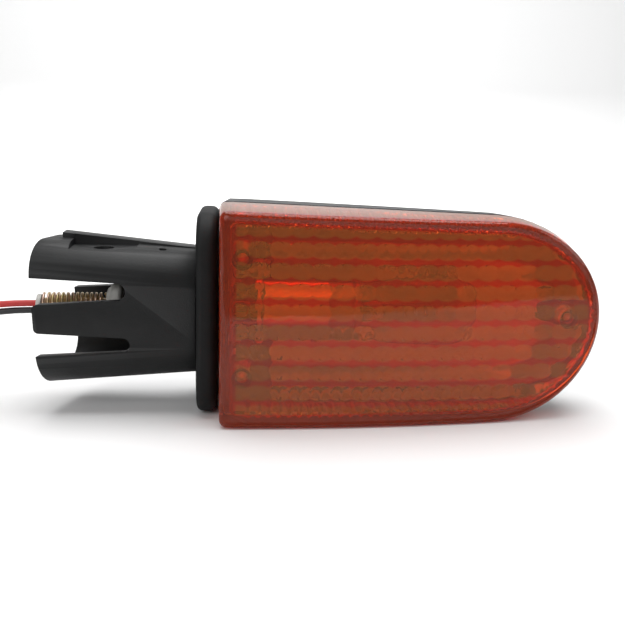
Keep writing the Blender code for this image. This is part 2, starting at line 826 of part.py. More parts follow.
def make_clamp():
    """The steel tube, its collar, the spring and the seat that slides on the tube."""
    shoulder = SEAT_FACE + SEAT_THICK + GAP
    head_face = STALK_ROOT - GAP / 2
    turned(
        "guide_tube",
        [
            (head_face, TUBE_BORE), (head_face, TUBE_HEAD),
            (head_face - TUBE_HEAD_THICK, TUBE_HEAD), (head_face - TUBE_HEAD_THICK, TUBE_SHANK),
            (shoulder, TUBE_SHANK), (shoulder, TUBE_NOSE), (NOSE_END, TUBE_NOSE),
            (NOSE_END, TUBE_BORE),
        ],
        STALK_AXIS, (1, 0, 0), zinc(), sides=28,
    )
    ring(
        "end_collar", TUBE_NOSE + RUN, COLLAR_RADIUS, NOSE_END, NOSE_END + COLLAR_THICK,
        STALK_AXIS, (1, 0, 0), zinc(), sides=28,
    )
    bore = (TUBE_NOSE + RUN) / math.cos(math.pi / 28)
    turned(
        "spring_seat",
        [
            (SEAT_FACE, bore), (SEAT_FACE, SPRING_RADIUS + SEAT_RIM),
            (SEAT_FACE - 0.0002, SEAT_RADIUS - 0.0004), (SEAT_FACE + 0.0004, SEAT_RADIUS),
            (SEAT_FACE + SEAT_THICK, SEAT_RADIUS), (SEAT_FACE + SEAT_THICK, bore),
        ],
        STALK_AXIS, (1, 0, 0), cast_zinc(), sides=28,
    )
    coil_spring(
        "retaining_spring", NOSE_END + COLLAR_THICK + GAP, SEAT_FACE - GAP, SPRING_RADIUS,
        SPRING_WIRE, SPRING_TURNS, STALK_AXIS, zinc(),
    )


def coil_spring(name, start, end, radius, wire, turns, axis, made_of, steps=9):
    """A helical spring along X between two planes."""
    mid_radius = radius - wire / 2
    points = []
    for i in range(round(turns * steps) + 1):
        share = i / (turns * steps)
        turn = 2 * math.pi * turns * share
        x = start + wire / 2 + (end - start - wire) * share
        points.append((
            axis[0] + x,
            axis[1] + mid_radius * math.cos(turn),
            axis[2] + mid_radius * math.sin(turn),
        ))
    curve = cord(name, points, wire / 2, made_of)
    curve.data.bevel_resolution = 0


def make_grommet():
    inner = HOUSING_WALL + HOUSING_DRAFT + GAP
    turned(
        "lead_grommet",
        [
            (GAP, GROMMET_BORE), (GAP, GROMMET_NECK), (inner, GROMMET_NECK),
            (inner, GROMMET_FLANGE), (inner + GROMMET_FLANGE_THICK, GROMMET_FLANGE),
            (inner + GROMMET_FLANGE_THICK, GROMMET_BORE),
        ],
        STALK_AXIS, (1, 0, 0), black_rubber(), sides=24,
    )


def make_socket():
    """The bulb holder: bracket, slotted shell, insulator, contact, its spring and terminals."""
    x = SOCKET_X
    bracket = box(
        "socket_bracket", (x, BULB_Y + BASE_RADIUS / 2, AXIS_Z - POST_RISE - BRACKET_EDGE),
        (x + BRACKET_THICK, POST_Y + BRACKET_EDGE, AXIS_Z + POST_RISE + BRACKET_EDGE), zinc(),
    )
    disc = rod(
        "cut_bracket_disc", BASE_RADIUS + 0.0015, x, x + BRACKET_THICK, BULB_AXIS, (1, 0, 0),
        zinc(),
    )
    combine(bracket, disc, "UNION")
    centre_way = rod("cut_bracket_way", 0.003, x - 0.001, x + 0.002, BULB_AXIS, (1, 0, 0), zinc())
    combine(bracket, centre_way, "DIFFERENCE")
    for side, name in ((1, "bracket_screw_upper"), (-1, "bracket_screw_lower")):
        y, z = post_place(side)[1:]
        way = rod(
            f"cut_bracket_screw_way_{side}", SCREW_RADIUS + GAP, x - 0.001, x + 0.002, (0, y, z),
            (1, 0, 0), zinc(), sides=16,
        )
        combine(bracket, way, "DIFFERENCE")
        head_top = x + BRACKET_THICK + GAP + SCREW_HEAD_THICK
        make_screw(name, head_top - HOUSING_WALL - GAP, SCREW_RADIUS, (head_top, y, z), (-1, 0, 0))
    make_shell(x + BRACKET_THICK + GAP)
    ring(
        "socket_insulator", 0.0012, BASE_RADIUS - GAP, x + 0.0013, x + 0.0028, BULB_AXIS,
        (1, 0, 0), phenolic(),
    )
    turned(
        "live_terminal",
        [
            (x - 0.0012, 0), (x - 0.0012, 0.0009), (x + 0.0031, 0.0009), (x + 0.0031, 0.0024),
            (x + 0.0037, 0.0024), (x + 0.0037, 0),
        ],
        BULB_AXIS, (1, 0, 0), brass(), sides=20,
    )
    coil_spring(
        "contact_spring", x + 0.0040, x + 0.0072, 0.0028, 0.0004, 4, BULB_AXIS, zinc(),
    )
    turned(
        "contact_plunger",
        [
            (x + 0.0058, 0), (x + 0.0058, 0.0014), (x + 0.0075, 0.0014), (x + 0.0075, 0.0045),
            (x + 0.0090, 0.0045), (x + 0.0090, 0),
        ],
        BULB_AXIS, (1, 0, 0), brass(), sides=24,
    )
    box(
        "earth_terminal", (x - GAP - 0.0008, STALK_Y + 0.0015, STALK_Z - 0.0045),
        (x - GAP, STALK_Y + 0.0050, STALK_Z - 0.0015), brass(),
    )


def make_shell(start):
    """The bulb holder's sleeve, with a bayonet way for each of the bulb's two pins."""
    end = start + SHELL_LENGTH
    inner = BASE_RADIUS + RUN
    shell = ring(
        "socket_shell", inner, inner + SHELL_WALL, start, end, BULB_AXIS, (1, 0, 0), zinc(),
        sides=40,
    )
    pin = SOCKET_X + PIN_FROM_BRACKET
    half = PIN_RADIUS + GAP
    reach = BASE_RADIUS * math.tan(TWIST)
    for side in (1, -1):
        low_y, high_y = sorted((-side * half, side * (reach + half)))
        low_z, high_z = sorted((side * BASE_RADIUS * 0.7, side * (BASE_RADIUS + 0.003)))
        window = box(
            f"cut_window_{side}", (pin - PUSH - half, low_y, low_z), (pin + half, high_y, high_z),
            zinc(),
        )
        low_y, high_y = sorted((side * (reach - half), side * (reach + half)))
        entry = box(
            f"cut_entry_{side}", (pin - half, low_y, low_z), (end + 0.001, high_y, high_z), zinc(),
        )
        for cutter in (window, entry):
            cutter.location = BULB_AXIS
            combine(shell, cutter, "DIFFERENCE")


def make_bulb():
    """The bulb: pinned base, solder contact, glass, stem and filament."""
    start = SOCKET_X + BASE_FROM_BRACKET
    end = start + BASE_LENGTH
    base = turned(
        "bulb_base",
        [
            (start, 0.0030), (start, BASE_RADIUS - 0.0008), (start + 0.0008, BASE_RADIUS),
            (end, BASE_RADIUS), (end, BASE_RADIUS - 0.0005),
            (start + 0.0013, BASE_RADIUS - 0.0005), (start + 0.0013, 0.0030),
        ],
        BULB_AXIS, (1, 0, 0), brass(), sides=40,
    )
    for side in (1, -1):
        low, high = sorted((side * (BASE_RADIUS - 0.0003), side * PIN_REACH))
        pin = rod(
            f"cut_pin_{side}", PIN_RADIUS, low, high,
            (SOCKET_X + PIN_FROM_BRACKET, BULB_Y, AXIS_Z), (0, 0, 1), brass(), sides=14,
        )
        combine(base, pin, "UNION")
    turned(
        "bulb_contact",
        [
            (start - 0.0015, 0), (start - 0.0012, 0.0014), (start - GAP, 0.0022),
            (start + 0.0010, 0.0027), (start + 0.0010, 0),
        ],
        BULB_AXIS, (1, 0, 0), cast_zinc(), sides=20,
    )
    glass_profile = glass_line(end, 0.0)
    inner_profile = glass_line(end, GLASS_WALL)
    turned(
        "bulb_glass", glass_profile + inner_profile[::-1], BULB_AXIS, (1, 0, 0), glass(), sides=24,
    )
    turned(
        "bulb_stem",
        [
            (end - 0.0040, 0), (end - 0.0040, 0.0042), (end - 0.0010, 0.0036),
            (end + 0.0060, 0.0014), (end + 0.0068, 0),
        ],
        BULB_AXIS, (1, 0, 0), glass(), sides=20,
    )
    middle = end + GLASS_LENGTH - GLASS_RADIUS - 0.002
    foot = end + 0.0071
    points = [
        (foot, -0.0008), (foot + 0.004, -0.0030), (middle - 0.001, -0.0042), (middle, -0.0038),
        (middle + 0.0006, 0.0), (middle, 0.0038), (middle - 0.001, 0.0042), (foot + 0.004, 0.0030),
        (foot, 0.0008),
    ]
    route = [(x, BULB_Y + y, AXIS_Z) for x, y in points]
    cord("bulb_filament", route, 0.00025, tungsten())


def glass_line(base_end, wall):
    """One side of the bulb's glass as (along, radius), from its open neck to its crown."""
    neck = BASE_RADIUS - 0.0005 - GAP - wall
    line = [(base_end - 0.003, neck), (base_end + 0.001, neck)]
    ball = base_end + GLASS_LENGTH - GLASS_RADIUS
    line.append((base_end + 0.008, (neck + GLASS_RADIUS - wall) / 2 + 0.0012))
    steps = 6
    for i in range(steps + 1):
        turn = math.pi / 2 * i / steps
        along = ball + (GLASS_RADIUS - wall) * math.sin(turn)
        line.append((along, (GLASS_RADIUS - wall) * math.cos(turn) if i < steps else 0))
    return line


def lead_height(colour):
    return STALK_Z + (LEAD_SPREAD if colour == "red" else -LEAD_SPREAD)


def make_inner_leads():
    """The leads' held lengths, from the terminals through grommet, pad and tube."""
    mouth = NOSE_END + GAP
    for colour, sheath in (("red", red_sheath()), ("black", black_sheath())):
        z = lead_height(colour)
        if colour == "red":
            across = BULB_Y - STALK_Y
            rise = AXIS_Z - STALK_Z
            bends = [
                (-0.0015, across, rise), (-0.0031, across * 0.85, rise * 0.95),
                (-0.0048, across * 0.35, rise * 0.72), (-0.0060, across * 0.07, rise * 0.56),
            ]
        else:
            bends = [
                (-0.0020, 0.0032, -0.0030), (-0.0036, 0.0020, -0.0022), (-0.0054, 0.0006, -0.0012),
            ]
        knots = [(SOCKET_X + x, STALK_Y + y, STALK_Z + rise) for x, y, rise in bends]
        knots += [(0.0030, STALK_Y, z), (0.0, STALK_Y, z)]
        knots.append((STALK_ROOT, STALK_Y, z))
        route = smooth_route(knots, 0.0012)
        route += [Vector((mouth, STALK_Y, z))]
        cord(f"{colour}_lead_inner", route, LEAD_RADIUS, sheath)


FREE_ROUTES = {
    "black": {
        "run": [
            (-0.0540, 0.0070, 0.0246), (-0.0620, 0.0070, 0.0235), (-0.0710, 0.0069, 0.0202),
            (-0.0800, 0.0063, 0.0140), (-0.0880, 0.0050, 0.0075), (-0.0960, 0.0036, 0.0034),
            (-0.1050, 0.0028, 0.0022),
        ],
        "tail": [
            (-0.1050, 0.0232, 0.0052), (-0.0985, 0.0240, 0.0036), (-0.0940, 0.0245, 0.0027),
        ],
    },
    "red": {
        "run": [
            (-0.0540, 0.0070, 0.0265), (-0.0620, 0.0070, 0.0256), (-0.0710, 0.0069, 0.0228),
            (-0.0800, 0.0063, 0.0180), (-0.0880, 0.0050, 0.0130), (-0.0960, 0.0036, 0.0098),
            (-0.1050, 0.0028, 0.0085),
        ],
        "tail": [
            (-0.1050, 0.0236, 0.0112), (-0.0990, 0.0254, 0.0092), (-0.0950, 0.0282, 0.0063),
            (-0.0916, 0.0306, 0.0040), (-0.0880, 0.0318, 0.0027),
        ],
    },
}


def make_free_leads():
    """The free lengths: a run down to the coil, the coil's outer form, a tail and a plug."""
    height = COIL_TURNS * COIL_RISE + 2 * LEAD_RADIUS + 0.0001
    for level, (colour, sheath) in enumerate((("black", black_sheath()), ("red", red_sheath()))):
        start = (NOSE_END - 0.00005, STALK_Y, lead_height(colour))
        run = smooth_route([start] + FREE_ROUTES[colour]["run"], 5 * LEAD_RADIUS)
        cord(f"{colour}_lead", run, LEAD_RADIUS, sheath)
        low = COIL_LIFT + level * (height + GAP)
        reach = LEAD_RADIUS + 0.0001
        ring(
            f"{colour}_lead_coil", COIL_RADIUS - reach, COIL_RADIUS + reach, low, low + height,
            COIL_CENTRE, (0, 0, 1), sheath, sides=36,
        )
        tail = smooth_route(FREE_ROUTES[colour]["tail"], 5 * LEAD_RADIUS)
        cord(f"{colour}_lead_tail", tail, LEAD_RADIUS, sheath)
        make_plug(colour, sheath, tail[-1])
    make_tie(height)


def make_plug(colour, sheath, place):
    """A bullet plug in its sleeve, lying on the floor and pointing along X."""
    x, y, z = place
    start = x + GAP
    turned(
        f"{colour}_sleeve",
        [
            (start, 0), (start, SLEEVE_RADIUS - 0.0008), (start + 0.002, SLEEVE_RADIUS),
            (start + SLEEVE_LENGTH, SLEEVE_RADIUS), (start + SLEEVE_LENGTH, 0),
        ],
        (0, y, z), (1, 0, 0), sheath, sides=20,
    )
    nose = start + SLEEVE_LENGTH + GAP
    turned(
        f"{colour}_bullet",
        [
            (nose, 0), (nose, BULLET_RADIUS * 0.75), (nose + 0.003, BULLET_RADIUS * 0.75),
            (nose + 0.0035, BULLET_RADIUS), (nose + BULLET_LENGTH - 0.0015, BULLET_RADIUS),
            (nose + BULLET_LENGTH - 0.0003, BULLET_RADIUS * 0.55), (nose + BULLET_LENGTH, 0),
        ],
        (0, y, z), (1, 0, 0), brass(), sides=20,
    )


def make_tie(height):
    """A flat tie round both coils."""
    reach = LEAD_RADIUS + 0.0001 + GAP
    top = COIL_LIFT + 2 * height + 2 * GAP
    left = COIL_CENTRE.x - COIL_RADIUS
    y = COIL_CENTRE.y
    tie = box(
        "coil_tie", (left - reach - TIE_THICK, y - TIE_WIDTH / 2, COIL_LIFT - GAP - TIE_THICK),
        (left + reach + TIE_THICK, y + TIE_WIDTH / 2, top + TIE_THICK), black_plastic(),
    )
    inside = box(
        "cut_tie", (left - reach, y - TIE_WIDTH, COIL_LIFT - GAP),
        (left + reach, y + TIE_WIDTH, top), black_plastic(),
    )
    combine(tie, inside, "DIFFERENCE")


def build():
    clear_start()
    lamp_frame()
    make_lens()
    make_gasket()
    make_housing()
    make_reflector()
    make_lens_screws()
    make_stalk_screws()
    make_pad()
    make_stalk()
    make_clamp()
    make_grommet()
    make_socket()
    make_bulb()
    make_inner_leads()
    make_free_leads()


build()
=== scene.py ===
"""A fairing turn signal: amber lamp, hollow slotted stalk, sprung clamp and two leads.

Pieces are modelled in the frame's own place.  Their sizes are given in the lamp's frame, whose
X zero is the lens's inboard edge, whose Y zero is the lens's rim and whose Z zero is the floor.
"""

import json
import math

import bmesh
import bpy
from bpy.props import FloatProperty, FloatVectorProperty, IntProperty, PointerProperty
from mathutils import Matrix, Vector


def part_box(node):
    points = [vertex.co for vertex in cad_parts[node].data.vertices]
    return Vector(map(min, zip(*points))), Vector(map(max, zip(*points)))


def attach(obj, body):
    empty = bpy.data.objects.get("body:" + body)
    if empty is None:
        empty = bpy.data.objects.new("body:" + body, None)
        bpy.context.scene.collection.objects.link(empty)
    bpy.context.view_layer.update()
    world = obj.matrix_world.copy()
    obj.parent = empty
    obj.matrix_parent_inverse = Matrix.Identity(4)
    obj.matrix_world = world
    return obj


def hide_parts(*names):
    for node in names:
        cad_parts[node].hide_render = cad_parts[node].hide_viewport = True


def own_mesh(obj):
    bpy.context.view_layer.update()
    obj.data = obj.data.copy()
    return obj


bl_info = {
    "name": "Fairing turn signal",
    "version": (1, 0, 0),
    "blender": (4, 5, 0),
    "location": "View3D > Sidebar > Turn signal",
    "description": "Models a turn signal with its lens, housing, stalk, clamp, bulb and leads",
    "category": "Add Mesh",
}

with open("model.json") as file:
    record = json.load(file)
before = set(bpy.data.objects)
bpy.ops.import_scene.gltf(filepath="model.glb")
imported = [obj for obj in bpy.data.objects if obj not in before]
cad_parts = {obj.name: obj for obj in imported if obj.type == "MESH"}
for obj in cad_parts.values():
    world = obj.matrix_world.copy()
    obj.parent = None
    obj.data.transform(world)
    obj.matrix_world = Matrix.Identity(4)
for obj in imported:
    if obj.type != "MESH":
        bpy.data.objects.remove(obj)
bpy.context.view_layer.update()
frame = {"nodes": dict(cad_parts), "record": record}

LENS_LOW, LENS_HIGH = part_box("lens")
ORIGIN = Vector((LENS_LOW.x, LENS_HIGH.y, 0.0))
LENS_LENGTH = LENS_HIGH.x - LENS_LOW.x
LENS_HEIGHT = LENS_HIGH.z


def span_of(node):
    """The lowest and highest corner of a CAD node, in the lamp's frame."""
    return [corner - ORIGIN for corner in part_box(node)]


def axis_of(node):
    """The point at X zero on the middle line of a CAD node that lies along X."""
    low, high = span_of(node)
    return Vector((0.0, (low.y + high.y) / 2, (low.z + high.z) / 2))


PAD_LOW, PAD_HIGH = span_of("mounting_pad")
STALK_LOW, STALK_HIGH = span_of("stalk")
TUBE_LOW, TUBE_HIGH = span_of("guide_tube")
SEAT_LOW, SEAT_HIGH = span_of("spring_seat")
BULB_LOW, BULB_HIGH = span_of("bulb_glass")
STALK_AXIS = axis_of("guide_tube")
BULB_AXIS = axis_of("bulb_glass")

TOP_LINE = 0.02035  # the first line between rows of optics, above the lens's middle
FIRST_COLUMN = 0.0078  # where the first column of optics starts
OPTIC_REACH = 0.00207  # from an optic's middle up or down to its foot
OPTIC_LONG = 0.34  # an optic's curve across the lens, as a share of its curve up and down
GASKET_GAP = 0.001  # between the housing's rim and the reflector's
GRID_STEP = 0.0025  # between the stations of smooth walls
SCREW_IN = 0.0063  # the two inboard screws, from the lens's inboard edge
SCREW_SPREAD = 0.0148  # the same screws, above and below the lens's middle
SCREW_OUT = 0.0095  # the outboard screw, from the lens's tip
X, Y, Z = Vector((1, 0, 0)), Vector((0, 1, 0)), Vector((0, 0, 1))


def length(name, description, value):
    return FloatProperty(name=name, description=description, default=value, unit="LENGTH")


def number(name, description, value):
    return FloatProperty(name=name, description=description, default=value)


def colour(name, description, *value):
    return FloatVectorProperty(
        name=name, description=description, subtype="COLOR", default=value,
    )


class LampSizes(bpy.types.PropertyGroup):
    """Sizes of the lens, the housing and the reflector."""

    end_round: length("Round end", "Half length of the elliptical end", 0.030)
    top_taper: number("Top taper", "Fall of the upper side per length", 0.034)
    corner: length("Corner", "Radius of the two inboard corners", 0.002)
    lens_depth: length("Lens depth", "Depth of the lens at its inboard edge", 0.0175)
    lens_sweep: length("Lens sweep", "How much shallower the lens is at its tip", 0.0135)
    lens_front: length("Lens front", "Thickness of the lens's front", 0.0018)
    lens_side: length("Lens side", "Thickness of the lens's side walls", 0.0029)
    lens_edge: length("Lens edge", "Radius of the lens's front edge", 0.0016)
    column_pitch: length("Column pitch", "Width of one optic", 0.00520)
    row_pitch: length("Row pitch", "Height of one optic", 0.005115)
    relief: length("Optic relief", "How far an optic stands proud", 0.00062)
    flute: length("Flute depth", "Depth of the grooves in the inner side walls", 0.0008)
    housing_depth: length("Housing depth", "Depth of the housing at its inboard edge", 0.022)
    housing_sweep: length("Housing sweep", "How much shallower the housing is at its tip", 0.008)
    housing_rim: length("Housing rim", "Where the housing's rim lies behind the lens's", 0.0018)
    housing_wall: length("Housing wall", "Thickness of the housing's walls", 0.0022)
    housing_edge: length("Housing edge", "Radius of the housing's rear edge", 0.005)


class StalkSizes(bpy.types.PropertyGroup):
    """Sizes of the stalk, its slots and the sprung clamp."""

    corner: length("Corner", "Radius of the long edges", 0.0095)
    wall: length("Wall", "Thickness of the stalk's walls", 0.0028)
    plate: length("Plate", "Thickness of the closed end", 0.0032)
    root_height: length("Root height", "Height at the pad", 0.032)
    root_depth: length("Root depth", "Depth at the pad", 0.026)
    slant: length("Slant", "How much shorter the rear wall is", 0.0072)
    lean: length("Lean", "How much shorter the lower side is", 0.0020)
    upper_end: length("Upper slot", "From the free end to the upper slot's end", 0.0242)
    lower_end: length("Lower slot", "From the free end to the lower slot's end", 0.0252)
    spring_radius: length("Spring radius", "Outer radius of the spring", 0.0040)
    spring_wire: length("Spring wire", "Thickness of the spring's wire", 0.00072)
    spring_turns: IntProperty(name="Spring turns", description="Turns of the spring", default=13)


class LeadSizes(bpy.types.PropertyGroup):
    """Sizes of the two leads and of their coil."""

    radius: length("Lead radius", "Half the thickness of a lead", 0.00085)
    coil_radius: length("Coil radius", "To the middle of a turn", 0.010)
    coil_turns: number("Coil turns", "Turns of each lead", 2.5)
    coil_rise: length("Coil rise", "Height of one turn", 0.0018)
    coil_lift: length("Coil lift", "Lowest side of the coil", 0.0010)


class SignalColours(bpy.types.PropertyGroup):
    """Colours of the finishes."""

    amber: colour("Amber", "Tint of the lens", 0.95, 0.30, 0.055)
    # painted shade: the deeper red painted into the lens's colour in the grooves between the optics and
    # along its margin
    painted_shade: colour("Groove", "Tint between the optics", 0.95, 0.085, 0.022)
    black: colour("Black plastic", "Stalk and housing", 0.0042, 0.0046, 0.0050)
    rubber: colour("Rubber", "Pad and gasket", 0.0038, 0.0041, 0.0045)
    red: colour("Red sheath", "The live lead", 0.52, 0.020, 0.018)
    zinc: colour("Yellow zinc", "Spring and screws", 0.66, 0.52, 0.24)


def at(x, y, z):
    """A point given in the lamp's own frame."""
    return ORIGIN + Vector((x, y, z))


# ------------------------------------------------------------------ modelling by operators


def deselect():
    if bpy.context.object and bpy.context.object.mode != "OBJECT":
        bpy.ops.object.mode_set(mode="OBJECT")
    bpy.ops.object.select_all(action="DESELECT")


def take(thing):
    """Make thing the one selected and active object."""
    deselect()
    thing.select_set(True)
    bpy.context.view_layer.objects.active = thing


def named(name):
    """Name the object that an operator has just added, with its place in its mesh."""
    thing = bpy.context.object
    thing.name = name
    thing.data.name = name
    bpy.ops.object.transform_apply(location=True, rotation=True, scale=True)
    return thing


def pick(thing, kind, test):
    """Enter edit mode with only the vertices, edges or faces that pass test selected."""
    take(thing)
    bpy.ops.object.mode_set(mode="EDIT")
    bpy.context.tool_settings.mesh_select_mode = (kind == "VERT", kind == "EDGE", kind == "FACE")
    bpy.ops.mesh.select_all(action="DESELECT")
    bm = bmesh.from_edit_mesh(thing.data)
    bm.normal_update()
    for part in {"VERT": bm.verts, "EDGE": bm.edges, "FACE": bm.faces}[kind]:
        if test(part):
            part.select_set(True)
    bmesh.update_edit_mesh(thing.data)


def pick_all(thing):
    pick(thing, "VERT", lambda vert: True)


def pick_border(thing):
    pick(thing, "EDGE", lambda edge: edge.is_boundary)


def lies_along(edge, axis):
    """Whether an edge runs along axis, near enough."""
    return abs((edge.verts[0].co - edge.verts[1].co).normalized().dot(axis)) > 0.9


def round_edges(thing, test, offset, segments):
    """Bevel the edges that pass test, in edit mode, and leave it."""
    pick(thing, "EDGE", test)
    bpy.ops.mesh.bevel(offset=offset, segments=segments, affect="EDGES")
    bpy.ops.object.mode_set(mode="OBJECT")


def reshape(thing, place):
    """Move each selected vertex of thing, in edit mode, to place(its position)."""
    bm = bmesh.from_edit_mesh(thing.data)
    for vert in bm.verts:
        if vert.select:
            vert.co = place(vert.co)
    bmesh.update_edit_mesh(thing.data)


def mend(thing, turn_out=True):
    """Merge doubles and turn the faces outwards."""
    take(thing)
    bpy.ops.object.mode_set(mode="EDIT")
    bpy.ops.mesh.select_all(action="SELECT")
    bpy.ops.mesh.remove_doubles(threshold=2e-6)
    bpy.ops.mesh.dissolve_degenerate(threshold=1e-6)
    if turn_out:
        bpy.ops.mesh.normals_make_consistent(inside=False)
    bpy.ops.object.mode_set(mode="OBJECT")


def apply_modifier(thing, kind, **settings):
    take(thing)
    step = thing.modifiers.new(kind.lower(), kind)
    for key, value in settings.items():
        setattr(step, key, value)
    bpy.ops.object.modifier_apply(modifier=step.name)


def cut(thing, tools, operation="DIFFERENCE"):
    """Cut thing by each tool, or join it on, and throw the tools away."""
    for tool in tools:
        apply_modifier(thing, "BOOLEAN", object=tool, operation=operation, solver="EXACT")
        bpy.data.objects.remove(tool, do_unlink=True)
    mend(thing, turn_out=False)


def join(things):
    take(things[0])
    for other in things[1:]:
        other.select_set(True)
    bpy.ops.object.join()
    return things[0]


def soften(thing, width, angle):
    """Round the sharp edges."""
    apply_modifier(
        thing, "BEVEL", width=width, segments=2, limit_method="ANGLE",
        angle_limit=math.radians(angle), use_clamp_overlap=True, miter_outer="MITER_ARC",
    )


def finish(thing, slot, node, angle=35, body="lamp"):
    """Shade a piece, give it its finish and put it in the place of its CAD node."""
    take(thing)
    bpy.ops.object.shade_smooth_by_angle(angle=math.radians(angle))
    thing.data.materials.clear()
    thing.data.materials.append(finish_of(slot))
    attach(thing, body)
    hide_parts(node)
    return thing


def block(name, low, high):
    """A box between two corners of the lamp's frame."""
    low, high = Vector(low), Vector(high)
    deselect()
    bpy.ops.mesh.primitive_cube_add(size=1, location=at(*(low + high) / 2))
    bpy.context.object.scale = high - low
    return named(name)


def peg(name, radius, start, end, sides=40, end_radius=None):
    """A round peg between two points of the lamp's frame."""
    start, end = at(*start), at(*end)
    along = end - start
    deselect()
    bpy.ops.mesh.primitive_cone_add(
        vertices=sides, radius1=radius, radius2=end_radius or radius, depth=along.length,
        location=(start + end) / 2, rotation=Z.rotation_difference(along).to_euler(),
    )
    return named(name)


def eased(profile, radius):
    """A profile with its corners rounded, except at its ends and on the axis."""
    knots = [Vector(p) for p in profile]
    out = [knots[0]]
    for before, corner, after in zip(knots, knots[1:], knots[2:]):
        back, on = before - corner, after - corner
        reach = min(radius, back.length * 0.45, on.length * 0.45)
        if corner.y < 1e-6 or back.angle(on) > math.radians(160):
            out.append(corner)
            continue
        start = corner + back.normalized() * reach
        end = corner + on.normalized() * reach
        out += [start, (start + end) / 4 + corner / 2, end]
    return out + [knots[-1]]


def turn_profile(name, profile, centre, axis, steps=56, ease=0.0):
    """A solid turned from a closed profile of (along, radius): a point is drawn out and spun."""
    if ease:
        profile = eased(profile, ease)
    side = Z if abs(axis.z) < 0.5 else X
    spots = [at(*centre) + axis * p[0] + side * p[1] for p in profile]
    deselect()
    bpy.ops.mesh.primitive_plane_add(size=0.001, location=spots[0])
    thing = named(name)
    pick_all(thing)
    bpy.ops.mesh.merge(type="CENTER")
    for here, there in zip(spots, spots[1:]):
        bpy.ops.mesh.extrude_region_move(TRANSFORM_OT_translate={"value": there - here})
    bpy.ops.mesh.select_all(action="SELECT")
    bpy.ops.mesh.spin(steps=steps, angle=2 * math.pi, center=at(*centre), axis=axis)
    mend(thing)
    return thing


# ------------------------------------------------------------------ the lamp's outline


def sides_at(sizes, x, inset, below):
    """Heights of the outline's lower and upper side at x, drawn in by inset, and below by below."""
    shoulder = LENS_LENGTH - sizes.end_round
    top = LENS_HEIGHT - sizes.top_taper * min(x, shoulder)
    if x > shoulder:
        reach = min((x - shoulder) / (sizes.end_round - inset), 1.0)
        turn = math.sqrt(1 - reach * reach)
        return top / 2 - (top / 2 - below) * turn, top / 2 + (top / 2 - inset) * turn
    near = min(max((x - inset) / sizes.corner, 0.0), 1.0)
    rise = sizes.corner * (1 - math.sqrt(1 - (1 - near) ** 2))
    return below + rise, top - inset - rise


def stations(sizes, inset, step):
    """Where the outline is sampled along X: by angle in its corners and tip, evenly between."""
    shoulder = LENS_LENGTH - sizes.end_round
    reach = sizes.end_round - inset
    corner = [inset + sizes.corner * (1 - math.cos(math.radians(a))) for a in (0, 22, 45, 68)]
    turns = (52, 57, 62, 66.5, 70.5, 74, 77, 80, 82.5, 85, 87, 88.5, 90)
    tip = [shoulder + reach * math.sin(math.radians(a)) for a in turns]
    even = [FIRST_COLUMN + i * step for i in range(-8, int(LENS_LENGTH / step))]
    first = inset + sizes.corner * 1.02
    return corner + [s for s in even if first < s < tip[0] - step / 4] + tip


def sheet(name, xs, lines, place):
    """A grid primitive whose points are moved to place(x, line)."""
    deselect()
    bpy.ops.mesh.primitive_grid_add(
        x_subdivisions=len(xs) - 1, y_subdivisions=len(lines) - 1, size=1,
    )
    thing = named(name)
    for vert in thing.data.vertices:
        column = round((vert.co.x + 0.5) * (len(xs) - 1))
        row = round((vert.co.y + 0.5) * (len(lines) - 1))
        vert.co = at(*place(xs[column], lines[row]))
    mend(thing, turn_out=False)
    return thing


def draw_walls(thing, sizes, start, levels):
    """Extrude the sheet's border level by level; a level is (inset, below, y of x)."""
    pick_border(thing)
    for inset, below, y_at in levels:
        bpy.ops.mesh.extrude_region_move()

        def place(spot, start=start):
            x, _, z = spot - ORIGIN
            share_x = (x - start[0]) / (LENS_LENGTH - 2 * start[0])
            low, high = sides_at(sizes, x, *start)
            share_z = (z - low) / (high - low) if high - low > 1e-5 else 0.5
            new_x = inset + share_x * (LENS_LENGTH - 2 * inset)
            new_low, new_high = sides_at(sizes, new_x, inset, below)
            return at(new_x, y_at(new_x), new_low + (new_high - new_low) * share_z)

        reshape(thing, place)
        start = (inset, below)
    bpy.ops.object.mode_set(mode="OBJECT")


def groove_walls(thing, sizes, reach):
    """Cut upright grooves, two to a column, into the side walls of the lens's inner skin."""
    shoulder = LENS_LENGTH - sizes.end_round
    pitch = sizes.column_pitch / 2

    def on_wall(vert):
        x, y, _ = vert.co - ORIGIN
        return y > reach - lens_depth(sizes, x) and x > 0.006

    def place(spot):
        x, _, z = spot - ORIGIN
        hub = Vector((min(x, shoulder), 0, LENS_HEIGHT / 2 - sizes.top_taper * x / 2))
        out = Vector((x, 0, z)) - hub
        along = x - FIRST_COLUMN
        if x > shoulder:
            along = shoulder - FIRST_COLUMN + sizes.end_round * math.atan2(x - shoulder, abs(out.z))
        off = abs((along / pitch + 0.5) % 1.0 - 0.5) * pitch
        return spot + out.normalized() * sizes.flute * max(0.0, 1 - off / (pitch / 4))

    pick(thing, "VERT", on_wall)
    reshape(thing, place)
    bpy.ops.object.mode_set(mode="OBJECT")


def close_rims(outer, inner):
    """Join two open trays at their rims into one closed wall."""
    pick(inner, "FACE", lambda face: True)
    bpy.ops.mesh.flip_normals()
    deselect()
    thing = join([outer, inner])
    pick_border(thing)
    bpy.ops.mesh.bridge_edge_loops()
    mend(thing)
    return thing


def round_levels(rim, side, depth_at, gap, inset, edge, draft, steps=4):
    """The levels of a tray's wall, from its floor's edge to its rim."""
    levels = []
    for i in range(steps - 1, -1, -1):
        turn = math.pi / 2 * i / steps
        below = inset + edge * (1 - math.cos(turn))
        back = edge * (1 - math.sin(turn)) + gap
        levels.append((below + draft, below, lambda x, b=back: rim + side * (depth_at(x) - b)))
    levels.append((inset, inset, lambda x: rim))
    return levels


